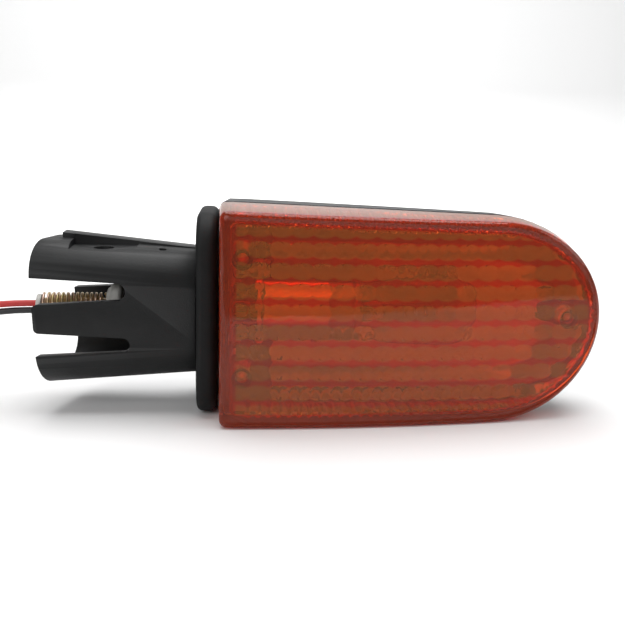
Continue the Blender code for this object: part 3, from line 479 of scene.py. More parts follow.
def tray(name, sizes, rim, side, depth_at, wall, edge, draft, inset=0.0):
    """A smooth open tray with the lamp's outline and an even wall."""
    skins = []
    for gap, radius in ((0.0, edge), (wall, max(edge - wall, 0.0006))):
        drawn = inset + gap
        start = (drawn + radius + draft, drawn + radius)

        def place(x, share, start=start, gap=gap):
            low, high = sides_at(sizes, x, *start)
            return x, rim + side * (depth_at(x) - gap), low + (high - low) * share

        xs = stations(sizes, start[0], GRID_STEP)
        skin = sheet(name, xs, [i / 20 for i in range(21)], place)
        levels = round_levels(rim, side, depth_at, gap, drawn, radius, draft)
        draw_walls(skin, sizes, start, levels)
        skins.append(skin)
    return close_rims(*skins)


def lens_depth(sizes, x):
    return sizes.lens_depth - sizes.lens_sweep * (x / LENS_LENGTH) ** 2


def housing_depth(sizes, x):
    return sizes.housing_depth - sizes.housing_sweep * (x / LENS_LENGTH) ** 2


def screw_places(sizes):
    """Where the three lens screws are, as (x, z)."""
    middle = LENS_HEIGHT / 2
    tip = (LENS_HEIGHT - sizes.top_taper * (LENS_LENGTH - sizes.end_round)) / 2
    inboard = [(SCREW_IN, middle + side * SCREW_SPREAD) for side in (1, -1)]
    return inboard + [(LENS_LENGTH - SCREW_OUT, tip)]


# ------------------------------------------------------------------ finishes


class Reading:
    """What a socket gives; ordinary arithmetic on it adds Math nodes."""

    def __init__(self, tree, socket):
        self.tree = tree
        self.socket = socket

    def maths(self, operation, *values, clamp=False):
        node = self.tree.nodes.new("ShaderNodeMath")
        node.operation = operation
        node.use_clamp = clamp
        for socket, value in zip(node.inputs, values):
            feed(self.tree, value, socket)
        return Reading(self.tree, node.outputs[0])

    def __add__(self, other):
        return self.maths("ADD", self, other)

    def __sub__(self, other):
        return self.maths("SUBTRACT", self, other)

    def __rsub__(self, other):
        return self.maths("SUBTRACT", other, self)

    def __mul__(self, other):
        return self.maths("MULTIPLY", self, other)

    def __truediv__(self, other):
        return self.maths("DIVIDE", self, other)

    def __pow__(self, other):
        return self.maths("POWER", self, other)

    __radd__ = __add__
    __rmul__ = __mul__

    def fraction(self):
        return self.maths("FRACT", self)

    def at_least(self, other):
        return self.maths("MAXIMUM", self, other)

    def at_most(self, other):
        return self.maths("MINIMUM", self, other)

    def between(self, low, high):
        """0 at low and 1 at high, held there beyond them."""
        return self.maths("MULTIPLY_ADD", self, 1 / (high - low), -low / (high - low), clamp=True)


def feed(tree, value, socket):
    """Link a reading to a socket, or set the socket to a number or colour."""
    if isinstance(value, Reading):
        tree.links.new(value.socket, socket)
    elif hasattr(value, "__len__") and len(value) == 3 and socket.type == "RGBA":
        socket.default_value = (*value, 1.0)
    else:
        socket.default_value = value


class Finish:
    """A material being made: constants sit on the shader, the rest comes from nodes."""

    def __init__(self, name, colour, roughness, **constants):
        self.material = bpy.data.materials.new(name)
        self.material.use_nodes = True
        self.tree = self.material.node_tree
        self.shader = self.tree.nodes["Principled BSDF"]
        self.set("Base Color", colour)
        self.set("Roughness", roughness)
        for key, value in constants.items():
            self.set(key.replace("_", " "), value)

    def set(self, name, value):
        feed(self.tree, value, self.shader.inputs[name])

    def node(self, kind, settings, sockets, output=0):
        """Any node: its settings first, then its sockets; gives one output's reading."""
        made = self.tree.nodes.new(kind)
        for key, value in settings.items():
            setattr(made, key, value)
        for key, value in sockets.items():
            feed(self.tree, value, made.inputs[key])
        return Reading(self.tree, made.outputs[output])

    def place(self, stretch=(1, 1, 1)):
        spot = self.node("ShaderNodeTexCoord", {}, {}, "Object")
        return self.node("ShaderNodeMapping", {}, {"Vector": spot, "Scale": stretch})

    def noise(self, scale, detail, stretch=(1, 1, 1)):
        sockets = {"Vector": self.place(stretch), "Scale": scale, "Detail": detail}
        return self.node("ShaderNodeTexNoise", {}, sockets, "Fac")

    def cells(self, scale):
        sockets = {"Vector": self.place(), "Scale": scale}
        return self.node("ShaderNodeTexVoronoi", {}, sockets, "Distance")

    def mix(self, share, first, second):
        node = self.tree.nodes.new("ShaderNodeMix")
        node.data_type = "RGBA"
        colours = [s for s in node.inputs if s.type == "RGBA"]
        feed(self.tree, share, node.inputs[0])
        feed(self.tree, first, colours[0])
        feed(self.tree, second, colours[1])
        return Reading(self.tree, next(s for s in node.outputs if s.type == "RGBA"))

    def bump(self, height, distance, strength=1.0):
        sockets = {"Height": height, "Distance": distance, "Strength": strength}
        self.set("Normal", self.node("ShaderNodeBump", {}, sockets))

    def worn(self):
        """1 on outer edges, 0 elsewhere."""
        return self.node("ShaderNodeNewGeometry", {}, {}, "Pointiness").between(0.52, 0.60)


def lighter(colour, share):
    return tuple(c + (1 - c) * share for c in colour)


def darker(colour, share):
    return tuple(c * (1 - share) for c in colour)


FINISHES = {}


def make_amber(colours, sizes):
    """Tinted plastic: red in its thick parts by absorption; a deeper red is painted into its colour as
    shade in the grooves between the optics and along its margin.
    """
    made = Finish(
        "amber_lens", colours.amber, 0.03, IOR=1.38, Transmission_Weight=0.84,
        Specular_IOR_Level=0.25,
    )
    spots = [
        made.node("ShaderNodeSeparateXYZ", {}, {"Vector": made.place()}, i) for i in range(3)
    ]
    x, y, z = spots[0] - ORIGIN.x, spots[1] - ORIGIN.y, spots[2]
    column, row = sizes.column_pitch, sizes.row_pitch
    middle = LENS_HEIGHT / 2 - x * (sizes.top_taper / 2)
    across = ((x - FIRST_COLUMN) / column).fraction() - 0.5
    along = ((TOP_LINE - (z - middle)) / row).fraction() - 0.5
    bulge = 1 - (along * (row / OPTIC_REACH)) ** 2 - OPTIC_LONG * (across * (column / OPTIC_REACH)) ** 2
    outward = ((x - LENS_LENGTH + sizes.end_round) / sizes.end_round).at_least(0.0)
    tall = (z - middle) / middle
    rim = (1 - (outward ** 2 + tall * tall) ** 0.5) * middle
    # painted shade: along the lens's outline a deeper red is painted into the colour, standing in for
    # light that runs through the thick side walls
    margin_shade = rim.at_most(x - 0.0012).between(0.0039, 0.0034)
    behind_front = y + sizes.lens_depth - sizes.lens_sweep * (x / LENS_LENGTH) ** 2
    front = behind_front.between(0.0036, 0.0030)
    # painted shade mask: the grooves between the optics and the margin, on the lens's front only
    painted_shade = bulge.between(0.10, -0.06).at_least(margin_shade) * front
    haze = made.noise(220, 4)
    tone = made.mix(made.noise(60, 2).between(0.3, 0.7), colours.amber, darker(colours.amber, 0.05))
    # the painted shade is mixed into the base colour here
    made.set("Base Color", made.mix(painted_shade * 0.85, tone, colours.painted_shade))
    made.set("Roughness", 0.02 + 0.05 * haze.between(0.45, 0.8))
    made.bump(made.noise(130, 2), 0.00004, 0.5)
    absorb = made.tree.nodes.new("ShaderNodeVolumeAbsorption")
    absorb.inputs["Color"].default_value = (0.93, 0.30, 0.02, 1.0)
    absorb.inputs["Density"].default_value = 190.0
    output = made.tree.nodes["Material Output"]
    made.tree.links.new(absorb.outputs[0], output.inputs["Volume"])
    return made


def make_black(name, colour, roughness, grain, depth):
    """Moulded plastic or rubber: fine grain, cloudy gloss, rubbed edges."""
    made = Finish(name, colour, roughness, Specular_IOR_Level=0.28)
    cloud = made.noise(90, 4)
    speck = made.noise(grain, 2)
    worn = made.worn() * 0.5
    tone = made.mix(cloud.between(0.3, 0.75), darker(colour, 0.25), lighter(colour, 0.004))
    made.set("Base Color", made.mix(worn, tone, lighter(colour, 0.03)))
    made.set("Roughness", roughness - 0.10 * cloud + 0.10 * speck - 0.12 * worn)
    made.bump(speck + 0.5 * made.cells(grain * 0.8), depth, 0.6)
    return made


def make_metal(name, colour, roughness, second=None, scratch=0.15, metal=1.0):
    """Plated or cast metal: a second tone in patches, fine scratches and dull spots."""
    made = Finish(name, colour, roughness, Metallic=metal)
    cloud = made.noise(350, 4)
    lines = made.noise(1500, 2, (0.08, 1, 1))
    second = second or darker(colour, 0.3)
    made.set("Base Color", made.mix(cloud.between(0.35, 0.65), colour, second))
    made.set("Roughness", roughness + scratch * lines - 0.08 * cloud)
    made.bump(lines + cloud, 0.00001, 0.5)
    return made


def make_sheath(name, colour):
    """Extruded lead insulation: faint flow lines and dusty patches."""
    made = Finish(name, colour, 0.38)
    dust = made.noise(260, 4)
    made.set("Base Color", made.mix(dust.between(0.5, 0.85) * 0.3, colour, lighter(colour, 0.12)))
    made.set("Roughness", 0.30 + 0.25 * dust)
    made.bump(made.noise(2600, 2), 0.00002, 0.5)
    return made


def make_finishes(colours, sizes):
    """Every finish, by its slot in the record."""
    black, rubber = tuple(colours.black), tuple(colours.rubber)
    FINISHES["amber_lens"] = make_amber(colours, sizes)
    FINISHES["black_plastic"] = make_black("black_plastic", black, 0.50, 2600, 0.00006)
    FINISHES["black_rubber"] = make_black("black_rubber", rubber, 0.66, 1700, 0.00004)
    metals = {  # colour, roughness, then second colour, scratches and metallic where they differ
        "silvered_plastic": ((0.66, 0.65, 0.63), 0.42, (0.56, 0.55, 0.53), 0.08),
        "zinc_plated_steel": (tuple(colours.zinc), 0.30, (0.62, 0.42, 0.34)),
        "cast_zinc": ((0.62, 0.61, 0.58), 0.50, (0.50, 0.49, 0.46), 0.2, 0.3),
        "nickelled_brass": ((0.40, 0.37, 0.29), 0.40, (0.34, 0.32, 0.26)),
        "phenolic_board": ((0.22, 0.10, 0.04), 0.55, (0.15, 0.07, 0.03), 0.1, 0.0),
        "tungsten_wire": ((0.32, 0.32, 0.33), 0.35),
    }
    for slot, look in metals.items():
        FINISHES[slot] = make_metal(slot, *look)
    FINISHES["red_sheath"] = make_sheath("red_sheath", tuple(colours.red))
    FINISHES["black_sheath"] = make_sheath("black_sheath", (0.014, 0.014, 0.015))
    glass = Finish("clear_glass", (0.97, 0.98, 0.98), 0.0, IOR=1.45, Transmission_Weight=1.0)
    glass.set("Roughness", 0.01 + 0.03 * glass.noise(180, 3).between(0.5, 0.9))
    FINISHES["clear_glass"] = glass


def finish_of(slot):
    return FINISHES[slot].material


# ------------------------------------------------------------------ pieces


def make_lens(sizes):
    """A thick amber moulding: smooth outside, rows of optics and fluted walls inside."""
    edge, draft = sizes.lens_edge, 0.0007

    def depth_at(x):
        return lens_depth(sizes, x)

    start = (edge + draft, edge)

    def front(x, share):
        low, high = sides_at(sizes, x, *start)
        crown = 0.00025 * (2 * share - 1) ** 2
        return x, crown - depth_at(x), low + (high - low) * share

    xs = stations(sizes, start[0], GRID_STEP)
    outer = sheet("lens_body", xs, [i / 24 for i in range(25)], front)
    draw_walls(outer, sizes, start, round_levels(0.0, -1, depth_at, 0.0, 0.0, edge, draft, 5))

    wall, inner_edge, inner_draft = sizes.lens_side, 0.0004, 0.0003
    begin = (wall + inner_edge + inner_draft, wall + inner_edge)
    middle = LENS_HEIGHT / 2
    column, row = sizes.column_pitch, sizes.row_pitch
    field = 0.0004

    def optics(x, line):
        low, high = sides_at(sizes, x, *begin)
        centre = middle - x * sizes.top_taper / 2
        z = min(max(centre + line, low), high)
        off_x = ((x - FIRST_COLUMN) / column) % 1.0 - 0.5
        off_z = ((TOP_LINE - (z - centre)) / row) % 1.0 - 0.5
        bulge = (
            1 - (off_z * row / OPTIC_REACH) ** 2 - OPTIC_LONG * (off_x * column / OPTIC_REACH) ** 2
        )
        inside = min(high - z, z - low, x - begin[0] - 0.0008) > field
        height = sizes.relief * max(bulge, 0.0) if inside else 0.0
        return x, sizes.lens_front + height - depth_at(x), z

    xs = stations(sizes, begin[0], column / 8)
    lines = [TOP_LINE + 2 * row - i * row / 8 for i in range(8 * 12, -1, -1)]
    inner = sheet("lens_inside", xs, lines, optics)
    levels = round_levels(0.0, -1, depth_at, sizes.lens_front, wall, inner_edge, inner_draft, 2)
    draw_walls(inner, sizes, begin, levels)
    groove_walls(inner, sizes, sizes.lens_front + inner_edge / 2)
    lens = close_rims(outer, inner)
    bosses, pilots = [], []
    for x, z in screw_places(sizes):
        deep = 0.0012 - depth_at(x)
        bosses.append(peg("boss", 0.0026, (x, deep, z), (x, -0.0001, z), 40, 0.0024))
        pilots.append(peg("pilot", 0.0015, (x, 0.0042 - depth_at(x), z), (x, 0.001, z), 24))
    cut(lens, [join(bosses)], "UNION")
    cut(lens, [join(pilots)])
    return finish(lens, "amber_lens", "lens", 24)


def make_housing(sizes):
    """The rear housing with its screw wells, lead way and drain."""
    rim = sizes.housing_rim

    def depth_at(x):
        return housing_depth(sizes, x)

    housing = tray(
        "housing", sizes, rim, 1, depth_at, sizes.housing_wall, sizes.housing_edge, 0.0008,
    )
    towers, wells = [], []
    for x, z in screw_places(sizes):
        back = rim + depth_at(x)
        towers.append(peg("tower", 0.0034, (x, 0.0009, z), (x, back - 0.001, z)))
        wells.append(peg("well", 0.0028, (x, rim + 0.004, z), (x, back + 0.003, z)))
        wells.append(peg("way", 0.0018, (x, -0.002, z), (x, rim + 0.005, z), 24))
    cut(housing, [join(towers)], "UNION")
    wells.append(peg("lead_way", 0.0037, STALK_AXIS - 0.002 * X, STALK_AXIS + 0.006 * X))
    drain = Vector((0.030, rim + 0.006, 0.0))
    wells.append(peg("drain", 0.0012, drain - 0.002 * Z, drain + 0.008 * Z, 20))
    for tool in wells:
        cut(housing, [tool])
    return finish(housing, "black_plastic", "rear_housing", 30)


def make_reflector(sizes):
    """The silvered tray behind the bulb, open inboard and notched for the outboard tower."""

    def depth_at(x):
        return 0.0158 - sizes.housing_sweep * (x / LENS_LENGTH) ** 2

    reflector = tray(
        "reflector_bowl", sizes, sizes.housing_rim + GASKET_GAP, 1, depth_at, 0.001, 0.005, 0.005,
        0.0034,
    )
    x, z = screw_places(sizes)[2]
    cut(reflector, [
        block("inboard", (-0.01, -0.01, -0.01), (0.0145, 0.03, 0.07)),
        peg("notch", 0.0039, (x, -0.01, z), (x, 0.03, z)),
        block("relief", (x, -0.01, z - 0.0039), (x + 0.02, 0.03, z + 0.0039)),
    ])
    return finish(reflector, "silvered_plastic", "reflector", 30)


def make_pad():
    """The rubber pad: a fat rounded slab with a raised lip on the stalk's side."""
    pad = block("pad", PAD_LOW, PAD_HIGH)
    round_edges(pad, lambda edge: lies_along(edge, X), 0.009, 10)
    left = PAD_LOW.x + ORIGIN.x
    right = PAD_HIGH.x + ORIGIN.x
    for face_x, offset in ((right, 0.0022), (left, 0.0016)):
        round_edges(
            pad, lambda edge: all(abs(v.co.x - face_x) < 1e-6 for v in edge.verts), offset, 6,
        )
    pick(pad, "FACE", lambda face: face.normal.x < -0.99 and face.calc_area() > 1e-4)
    bpy.ops.mesh.inset(thickness=0.0006)
    bpy.ops.mesh.inset(thickness=0.00025, depth=-0.0004)
    bpy.ops.object.mode_set(mode="OBJECT")
    tools = [peg("lead_way", 0.0024, STALK_AXIS - 0.008 * X, STALK_AXIS + 0.002 * X)]
    for side in (1, -1):
        spot = STALK_AXIS + side * 0.0072 * Z
        tools.append(peg("screw_way", 0.0018, spot - 0.008 * X, spot + 0.002 * X, 24))
    cut(pad, tools)
    return finish(pad, "black_rubber", "mounting_pad", 50)


def slot_tool(name, depth, centre, inner, outer):
    """A tapering cutter with a round closed end."""
    end = STALK_LOW.x + depth
    tool = block(
        name, (STALK_LOW.x - 0.002, STALK_LOW.y - 0.01, centre - outer / 2),
        (end, STALK_HIGH.y + 0.01, centre + outer / 2),
    )
    end_x = end + ORIGIN.x
    middle = centre + ORIGIN.z

    def narrowed(spot):
        return Vector((spot.x, spot.y, middle + math.copysign(inner / 2, spot.z - middle)))

    def at_end(edge):
        level = abs(edge.verts[0].co.z - edge.verts[1].co.z) < 1e-6
        return level and all(abs(v.co.x - end_x) < 1e-6 for v in edge.verts)

    pick(tool, "VERT", lambda vert: abs(vert.co.x - end_x) < 1e-6)
    reshape(tool, narrowed)
    round_edges(tool, at_end, inner / 2 * 0.96, 8)
    return tool


def round_tips(stalk, reach, radius):
    """Round the corners of the front fingers' ends within reach of the stalk's axis."""
    ends = at(STALK_LOW.x + 0.004, 0, 0).x

    def at_tip(edge):
        along = edge.verts[0].co - edge.verts[1].co
        near = all(v.co.x < ends and abs(v.co.z - STALK_AXIS.z) < reach for v in edge.verts)
        return near and abs(along.normalized().y) > 0.8 and along.length > 0.0015

    pick(stalk, "EDGE", at_tip)
    bpy.ops.mesh.bevel(offset=radius, segments=4, affect="EDGES", clamp_overlap=True)
    bpy.ops.object.mode_set(mode="OBJECT")


def make_stalk(sizes):
    """The hollow stalk: closed at the pad, slotted and cut on a slant at its free end."""
    axis = STALK_AXIS
    free, root = STALK_LOW.x, STALK_HIGH.x
    free_half = Vector((0, (STALK_HIGH.y - STALK_LOW.y) / 2, 0.019))
    root_half = Vector((0, sizes.root_depth / 2, sizes.root_height / 2))

    def corner(spot):
        side = spot - at(0, axis.y, axis.z)
        x = root
        if spot.x < at(-0.02, 0, 0).x:
            x = free + (sizes.slant if side.y > 0 else 0.0) + (sizes.lean if side.z < 0 else 0.0)
        half = root_half.lerp(free_half, (root - x) / (root - free))
        y = math.copysign(half.y, side.y)
        z = math.copysign(half.z, side.z)
        return at(x, axis.y + y, axis.z + z)

    half = Vector((0, 0.013, 0.016))
    stalk = block("stalk_shell", axis - half + free * X, axis + half + root * X)
    pick_all(stalk)
    reshape(stalk, corner)
    round_edges(stalk, lambda edge: lies_along(edge, X), sizes.corner, 10)
    pick(stalk, "FACE", lambda face: face.normal.x < -0.9)
    bpy.ops.mesh.inset(thickness=sizes.wall)
    bpy.ops.mesh.extrude_region_move(TRANSFORM_OT_translate={"value": (0.01, 0, 0)})
    plate = at(root - sizes.plate, 0, 0).x
    shrink_y = (root_half.y - sizes.wall) / (free_half.y - sizes.wall)
    shrink_z = (root_half.z - sizes.wall) / (free_half.z - sizes.wall)
    middle = at(0, axis.y, axis.z)
    reshape(stalk, lambda spot: Vector((
        plate, middle.y + (spot.y - middle.y) * shrink_y, middle.z + (spot.z - middle.z) * shrink_z,
    )))
    mend(stalk)
    ridge = block("ridge", (free + 0.0066, axis.y, 0.03), (root - 0.0004, axis.y + 0.006, 0.04))
    pick_all(ridge)

    def ride_top(spot):
        share = (root - (spot.x - ORIGIN.x)) / (root - free)
        top = axis.z + root_half.z + (free_half.z - root_half.z) * share
        rise = 0.0002 + 0.0013 * share
        return Vector((spot.x, spot.y, top + (rise if spot.z > 0.035 else -0.0014)))

    reshape(ridge, ride_top)
    cut(stalk, [ridge], "UNION")
    cut(stalk, [
        slot_tool("upper_slot", sizes.upper_end, axis.z + 0.0065, 0.0043, 0.0072),
        slot_tool("lower_slot", sizes.lower_end, axis.z - 0.0072, 0.0036, 0.0064),
    ])
    pocket_x = free + 0.0180
    slope = (free_half.z - root_half.z) / (root - free)
    pocket_z = axis.z + root_half.z + slope * (root - pocket_x) - 0.001
    hole = Vector((pocket_x, axis.y - 0.0053, pocket_z))
    dimple = hole + 0.0150 * X
    cut(stalk, [
        block(
            "pocket", (pocket_x - 0.0084, axis.y - 0.02, pocket_z),
            (pocket_x + 0.0084, axis.y + 0.0003, pocket_z + 0.006),
        ),
        peg("pocket_hole", 0.00265, hole - 0.004 * Z, hole + 0.001 * Z),
        peg("dimple", 0.0010, dimple - 0.0006 * Z, dimple + 0.003 * Z, 24),
        peg("tube_way", 0.0039, axis + (root - 0.005) * X, axis + (root + 0.001) * X),
    ])
    round_tips(stalk, 0.0090, 0.0011)
    round_tips(stalk, 0.0140, 0.0005)
    mend(stalk, turn_out=False)
    soften(stalk, 0.00025, 42)
    return finish(stalk, "black_plastic", "stalk", 40)


def make_spring(name, start, end, radius, wire, turns, axis):
    """A closed coil of round wire along X: a circle swept by a screw modifier."""
    deselect()
    section = at(start + wire / 2, axis.y, axis.z + radius - wire / 2)
    bpy.ops.mesh.primitive_circle_add(
        vertices=12, radius=wire / 2, location=section, rotation=(math.pi / 2, 0, 0),
    )
    spring = named(name)
    pivot = bpy.data.objects.new("pivot", None)
    pivot.location = at(0, axis.y, axis.z)
    pivot.rotation_euler = (0, math.pi / 2, 0)
    bpy.context.scene.collection.objects.link(pivot)
    bpy.context.view_layer.update()
    apply_modifier(
        spring, "SCREW", object=pivot, axis="Z", steps=28, render_steps=28, iterations=turns,
        screw_offset=(end - start - wire) / turns, angle=2 * math.pi,
    )
    bpy.data.objects.remove(pivot, do_unlink=True)
    pick_border(spring)
    bpy.ops.mesh.edge_face_add()
    mend(spring)
    return spring


def make_clamp(sizes):
    """The guide tube, its collar, the spring and the cast seat."""
    axis = STALK_AXIS
    nose = TUBE_LOW.x
    shoulder = SEAT_HIGH.x + 0.0003
    head = TUBE_HIGH.x
    tube = turn_profile("tube", [
        (nose, 0.00195), (nose, 0.00245), (shoulder, 0.00245), (shoulder, 0.0036),
        (head - 0.0014, 0.0036), (head - 0.0014, 0.0050), (head, 0.0050), (head, 0.00195),
        (nose, 0.00195),
    ], axis, X, ease=0.0002)
    finish(tube, "zinc_plated_steel", "guide_tube")
    collar = turn_profile("collar", [
        (nose, 0.00252), (nose, 0.0034), (nose + 0.0013, 0.0034), (nose + 0.0013, 0.00252),
        (nose, 0.00252),
    ], axis, X, ease=0.0003)
    finish(collar, "cast_zinc", "end_collar")
    face = SEAT_LOW.x
    seat = turn_profile("seat", [
        (face, 0.00252), (face, 0.0045), (face + 0.0002, 0.0052), (face + 0.0007, 0.0054),
        (face + 0.0009, 0.0059), (face + 0.0013, 0.0063), (face + 0.0020, 0.0065),
        (face + 0.0034, 0.0065), (face + 0.0040, 0.0062), (face + 0.0042, 0.0056),
        (face + 0.0042, 0.00252), (face, 0.00252),
    ], axis, X, ease=0.0002)
    finish(seat, "cast_zinc", "spring_seat", body="seat")
    spring = make_spring(
        "clamp_spring", nose + 0.0015, face - 0.0002, sizes.spring_radius, sizes.spring_wire,
        sizes.spring_turns, axis,
    )
    finish(spring, "zinc_plated_steel", "retaining_spring", 60)
    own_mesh(spring)


def make_plunger_spring():
    """The short spring behind the bulb holder's plunger."""
    low, high = span_of("contact_spring")
    centre = axis_of("contact_spring")
    spring = make_spring(
        "plunger_spring", low.x, high.x - 0.0001, (high.z - low.z) / 2, 0.0003, 4, centre,
    )
    finish(spring, "zinc_plated_steel", "contact_spring", 60)
    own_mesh(spring)


def make_screw(name, node):
    """A pan-head screw with a cross recess and a thread, in place of its CAD node."""
    low, high = span_of(node)
    span = high - low
    along = max(range(3), key=lambda i: span[i])
    axis = (X, Y, Z)[along]
    centre = (low + high) / 2
    centre[along] = 0.0
    head_at_high = node.startswith(("lens", "bracket", "stalk"))
    top, tip = (high[along], low[along]) if head_at_high else (low[along], high[along])
    way = 1 if tip > top else -1
    radius = min(span[i] for i in range(3) if i != along) / 2
    shank = 0.0012 if node.startswith("lens") else 0.0015
    profile = [
        (top, 0.0), (top, radius * 0.62), (top + way * 0.0009, radius),
        (top + way * 0.0019, radius), (top + way * 0.0020, shank),
    ]
    spot = top + way * 0.0026
    while abs(tip - spot) > 0.0020:
        profile += [
            (spot, shank * 0.80), (spot + way * 0.0003, shank), (spot + way * 0.0006, shank * 0.80),
        ]
        spot += way * 0.0006
    profile += [(tip - way * 0.0008, shank * 0.7), (tip, 0.0)]
    screw = turn_profile(name, profile, centre, axis, 28)
    spot = centre.copy()
    spot[along] = top
    blades = []
    reach = Vector((0.0014, 0.0014, 0.0014))
    for turn in (0.3, 0.3 + math.pi / 2):
        blade = block("blade", spot - reach, spot + reach)
        pick_all(blade)
        turned = Matrix.Rotation(turn, 3, axis)
        across = (Y, Z, X)[along]

        def narrow(point):
            off = point - at(*spot)
            off -= across * off.dot(across) * 0.78
            off -= axis * off.dot(axis) * 0.25
            return at(*spot) + turned @ off

        reshape(blade, narrow)
        bpy.ops.object.mode_set(mode="OBJECT")
        blades.append(blade)
    cut(screw, blades)
    return finish(screw, "zinc_plated_steel", node, 30)


def make_bulb():
    """The bulb: its glass and its pinned base."""
    neck, crown = BULB_LOW.x, BULB_HIGH.x
    ball = (BULB_HIGH.z - BULB_LOW.z) / 2
    wall = 0.0006

    def line(gap):
        spots = [
            (neck, 0.0066 - gap), (neck + 0.004, 0.0067 - gap), (neck + 0.007, 0.0076 - gap),
            (neck + 0.011, 0.0093 - gap),
        ]
        for i in range(10):
            turn = math.pi / 2 * i / 9
            out = ball - gap
            spots.append((crown - ball + out * math.sin(turn), out * math.cos(turn)))
        return spots

    glass = turn_profile("glass", line(0.0) + line(wall)[::-1] + [line(0.0)[0]], BULB_AXIS, X)
    finish(glass, "clear_glass", "bulb_glass", 60, body="bulb")
    low, high = span_of("bulb_base")
    start, end = low.x, high.x
    base = turn_profile("base", [
        (start, 0.0030), (start, 0.0066), (start + 0.0010, 0.0075), (end - 0.0022, 0.0075),
        (end - 0.0018, 0.0072), (end - 0.0014, 0.0075), (end, 0.0075), (end, 0.0070),
        (start + 0.0013, 0.0070), (start + 0.0013, 0.0030), (start, 0.0030),
    ], BULB_AXIS, X, ease=0.0003)
    pins = []
    for side in (1, -1):
        spot = Vector((start + 0.0042, BULB_AXIS.y, BULB_AXIS.z))
        pin = Z * side
        pins.append(peg("pin", 0.00098, spot + pin * 0.0072, spot + pin * 0.0088, 24, 0.0009))
    cut(base, pins, "UNION")
    finish(base, "nickelled_brass", "bulb_base", 30, body="bulb")


# ------------------------------------------------------------------ leads


COIL_CENTRE = Vector((-0.1120, 0.0128, 0.0))
LEAD_ROUTES = {
    "black": {
        "run": [
            (-0.0540, 0.0070, 0.0246), (-0.0620, 0.0070, 0.0235), (-0.0710, 0.0069, 0.0202),
            (-0.0800, 0.0063, 0.0140), (-0.0880, 0.0050, 0.0075), (-0.0960, 0.0036, 0.0034),
            (-0.1050, 0.0028, 0.0022),
        ],
        "tail": [
            (-0.1050, 0.0232, 0.0052), (-0.0985, 0.0240, 0.0036), (-0.0940, 0.0245, 0.0027),
        ],
    },
    "red": {
        "run": [
            (-0.0540, 0.0070, 0.0265), (-0.0620, 0.0070, 0.0256), (-0.0710, 0.0069, 0.0228),
            (-0.0800, 0.0063, 0.0180), (-0.0880, 0.0050, 0.0130), (-0.0960, 0.0036, 0.0098),
            (-0.1050, 0.0028, 0.0085),
        ],
        "tail": [
            (-0.1050, 0.0236, 0.0112), (-0.0990, 0.0254, 0.0092), (-0.0950, 0.0282, 0.0063),
            (-0.0916, 0.0306, 0.0040), (-0.0880, 0.0318, 0.0027),
        ],
    },
}


def smooth_route(points, step):
    """Points about step apart on a smooth curve through the given ones."""
    route = []
    knots = [Vector(p) for p in points]
    ends = [2 * knots[0] - knots[1]] + knots + [2 * knots[-1] - knots[-2]]
    for a, b, c, d in zip(ends, ends[1:], ends[2:], ends[3:]):
        count = max(1, round((c - b).length / step))
        for i in range(count):
            t = i / count
            route.append(
                b
                + (c - a) * (t / 2)
                + (a * 2 - b * 5 + c * 4 - d) * (t * t / 2)
                + (b * 3 - a - c * 3 + d) * (t ** 3 / 2)
            )
    route.append(knots[-1])
    return route


def make_lead(colour, sizes, level):
    """One lead: out of the tube, down to its coil, round it, and on to its plug."""
    height = sizes.coil_turns * sizes.coil_rise + 2 * sizes.radius + 0.0001
    spread = 0.00095 if colour == "red" else -0.00095
    start = Vector((TUBE_LOW.x - 0.00005, STALK_AXIS.y, STALK_AXIS.z + spread))
    ways = LEAD_ROUTES[colour]
    foot = sizes.coil_lift + level * (height + 0.0003) + sizes.radius + 0.00005
    knots = [start] + [Vector(p) for p in ways["run"]]
    per_turn = 12
    count = round(sizes.coil_turns * per_turn)
    for i in range(count + 1):
        turn = -math.pi / 2 - 2 * math.pi * i / per_turn
        knots.append(COIL_CENTRE + Vector((
            sizes.coil_radius * math.cos(turn), sizes.coil_radius * math.sin(turn),
            foot + sizes.coil_rise * i / per_turn,
        )))
    knots += [Vector(p) for p in ways["tail"]]
    sleeve_start = knots[-1].x + 0.0003
    knots.append(Vector((sleeve_start + 0.003, knots[-1].y, knots[-1].z)))
    route = [at(*p) for p in smooth_route(knots, 0.0028)]
    curve = bpy.data.curves.new(f"{colour}_cable", "CURVE")
    curve.dimensions = "3D"
    curve.bevel_depth = sizes.radius
    curve.bevel_resolution = 4
    curve.use_fill_caps = True
    spline = curve.splines.new("POLY")
    spline.points.add(len(route) - 1)
    for spot, place in zip(spline.points, route):
        spot.co = (*place, 1.0)
    lead = bpy.data.objects.new(f"{colour}_cable", curve)
    bpy.context.scene.collection.objects.link(lead)
    curve.materials.append(finish_of(f"{colour}_sheath"))
    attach(lead, "lamp")
    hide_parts(f"{colour}_lead", f"{colour}_lead_coil", f"{colour}_lead_tail")
    pieces = make_plug(colour)


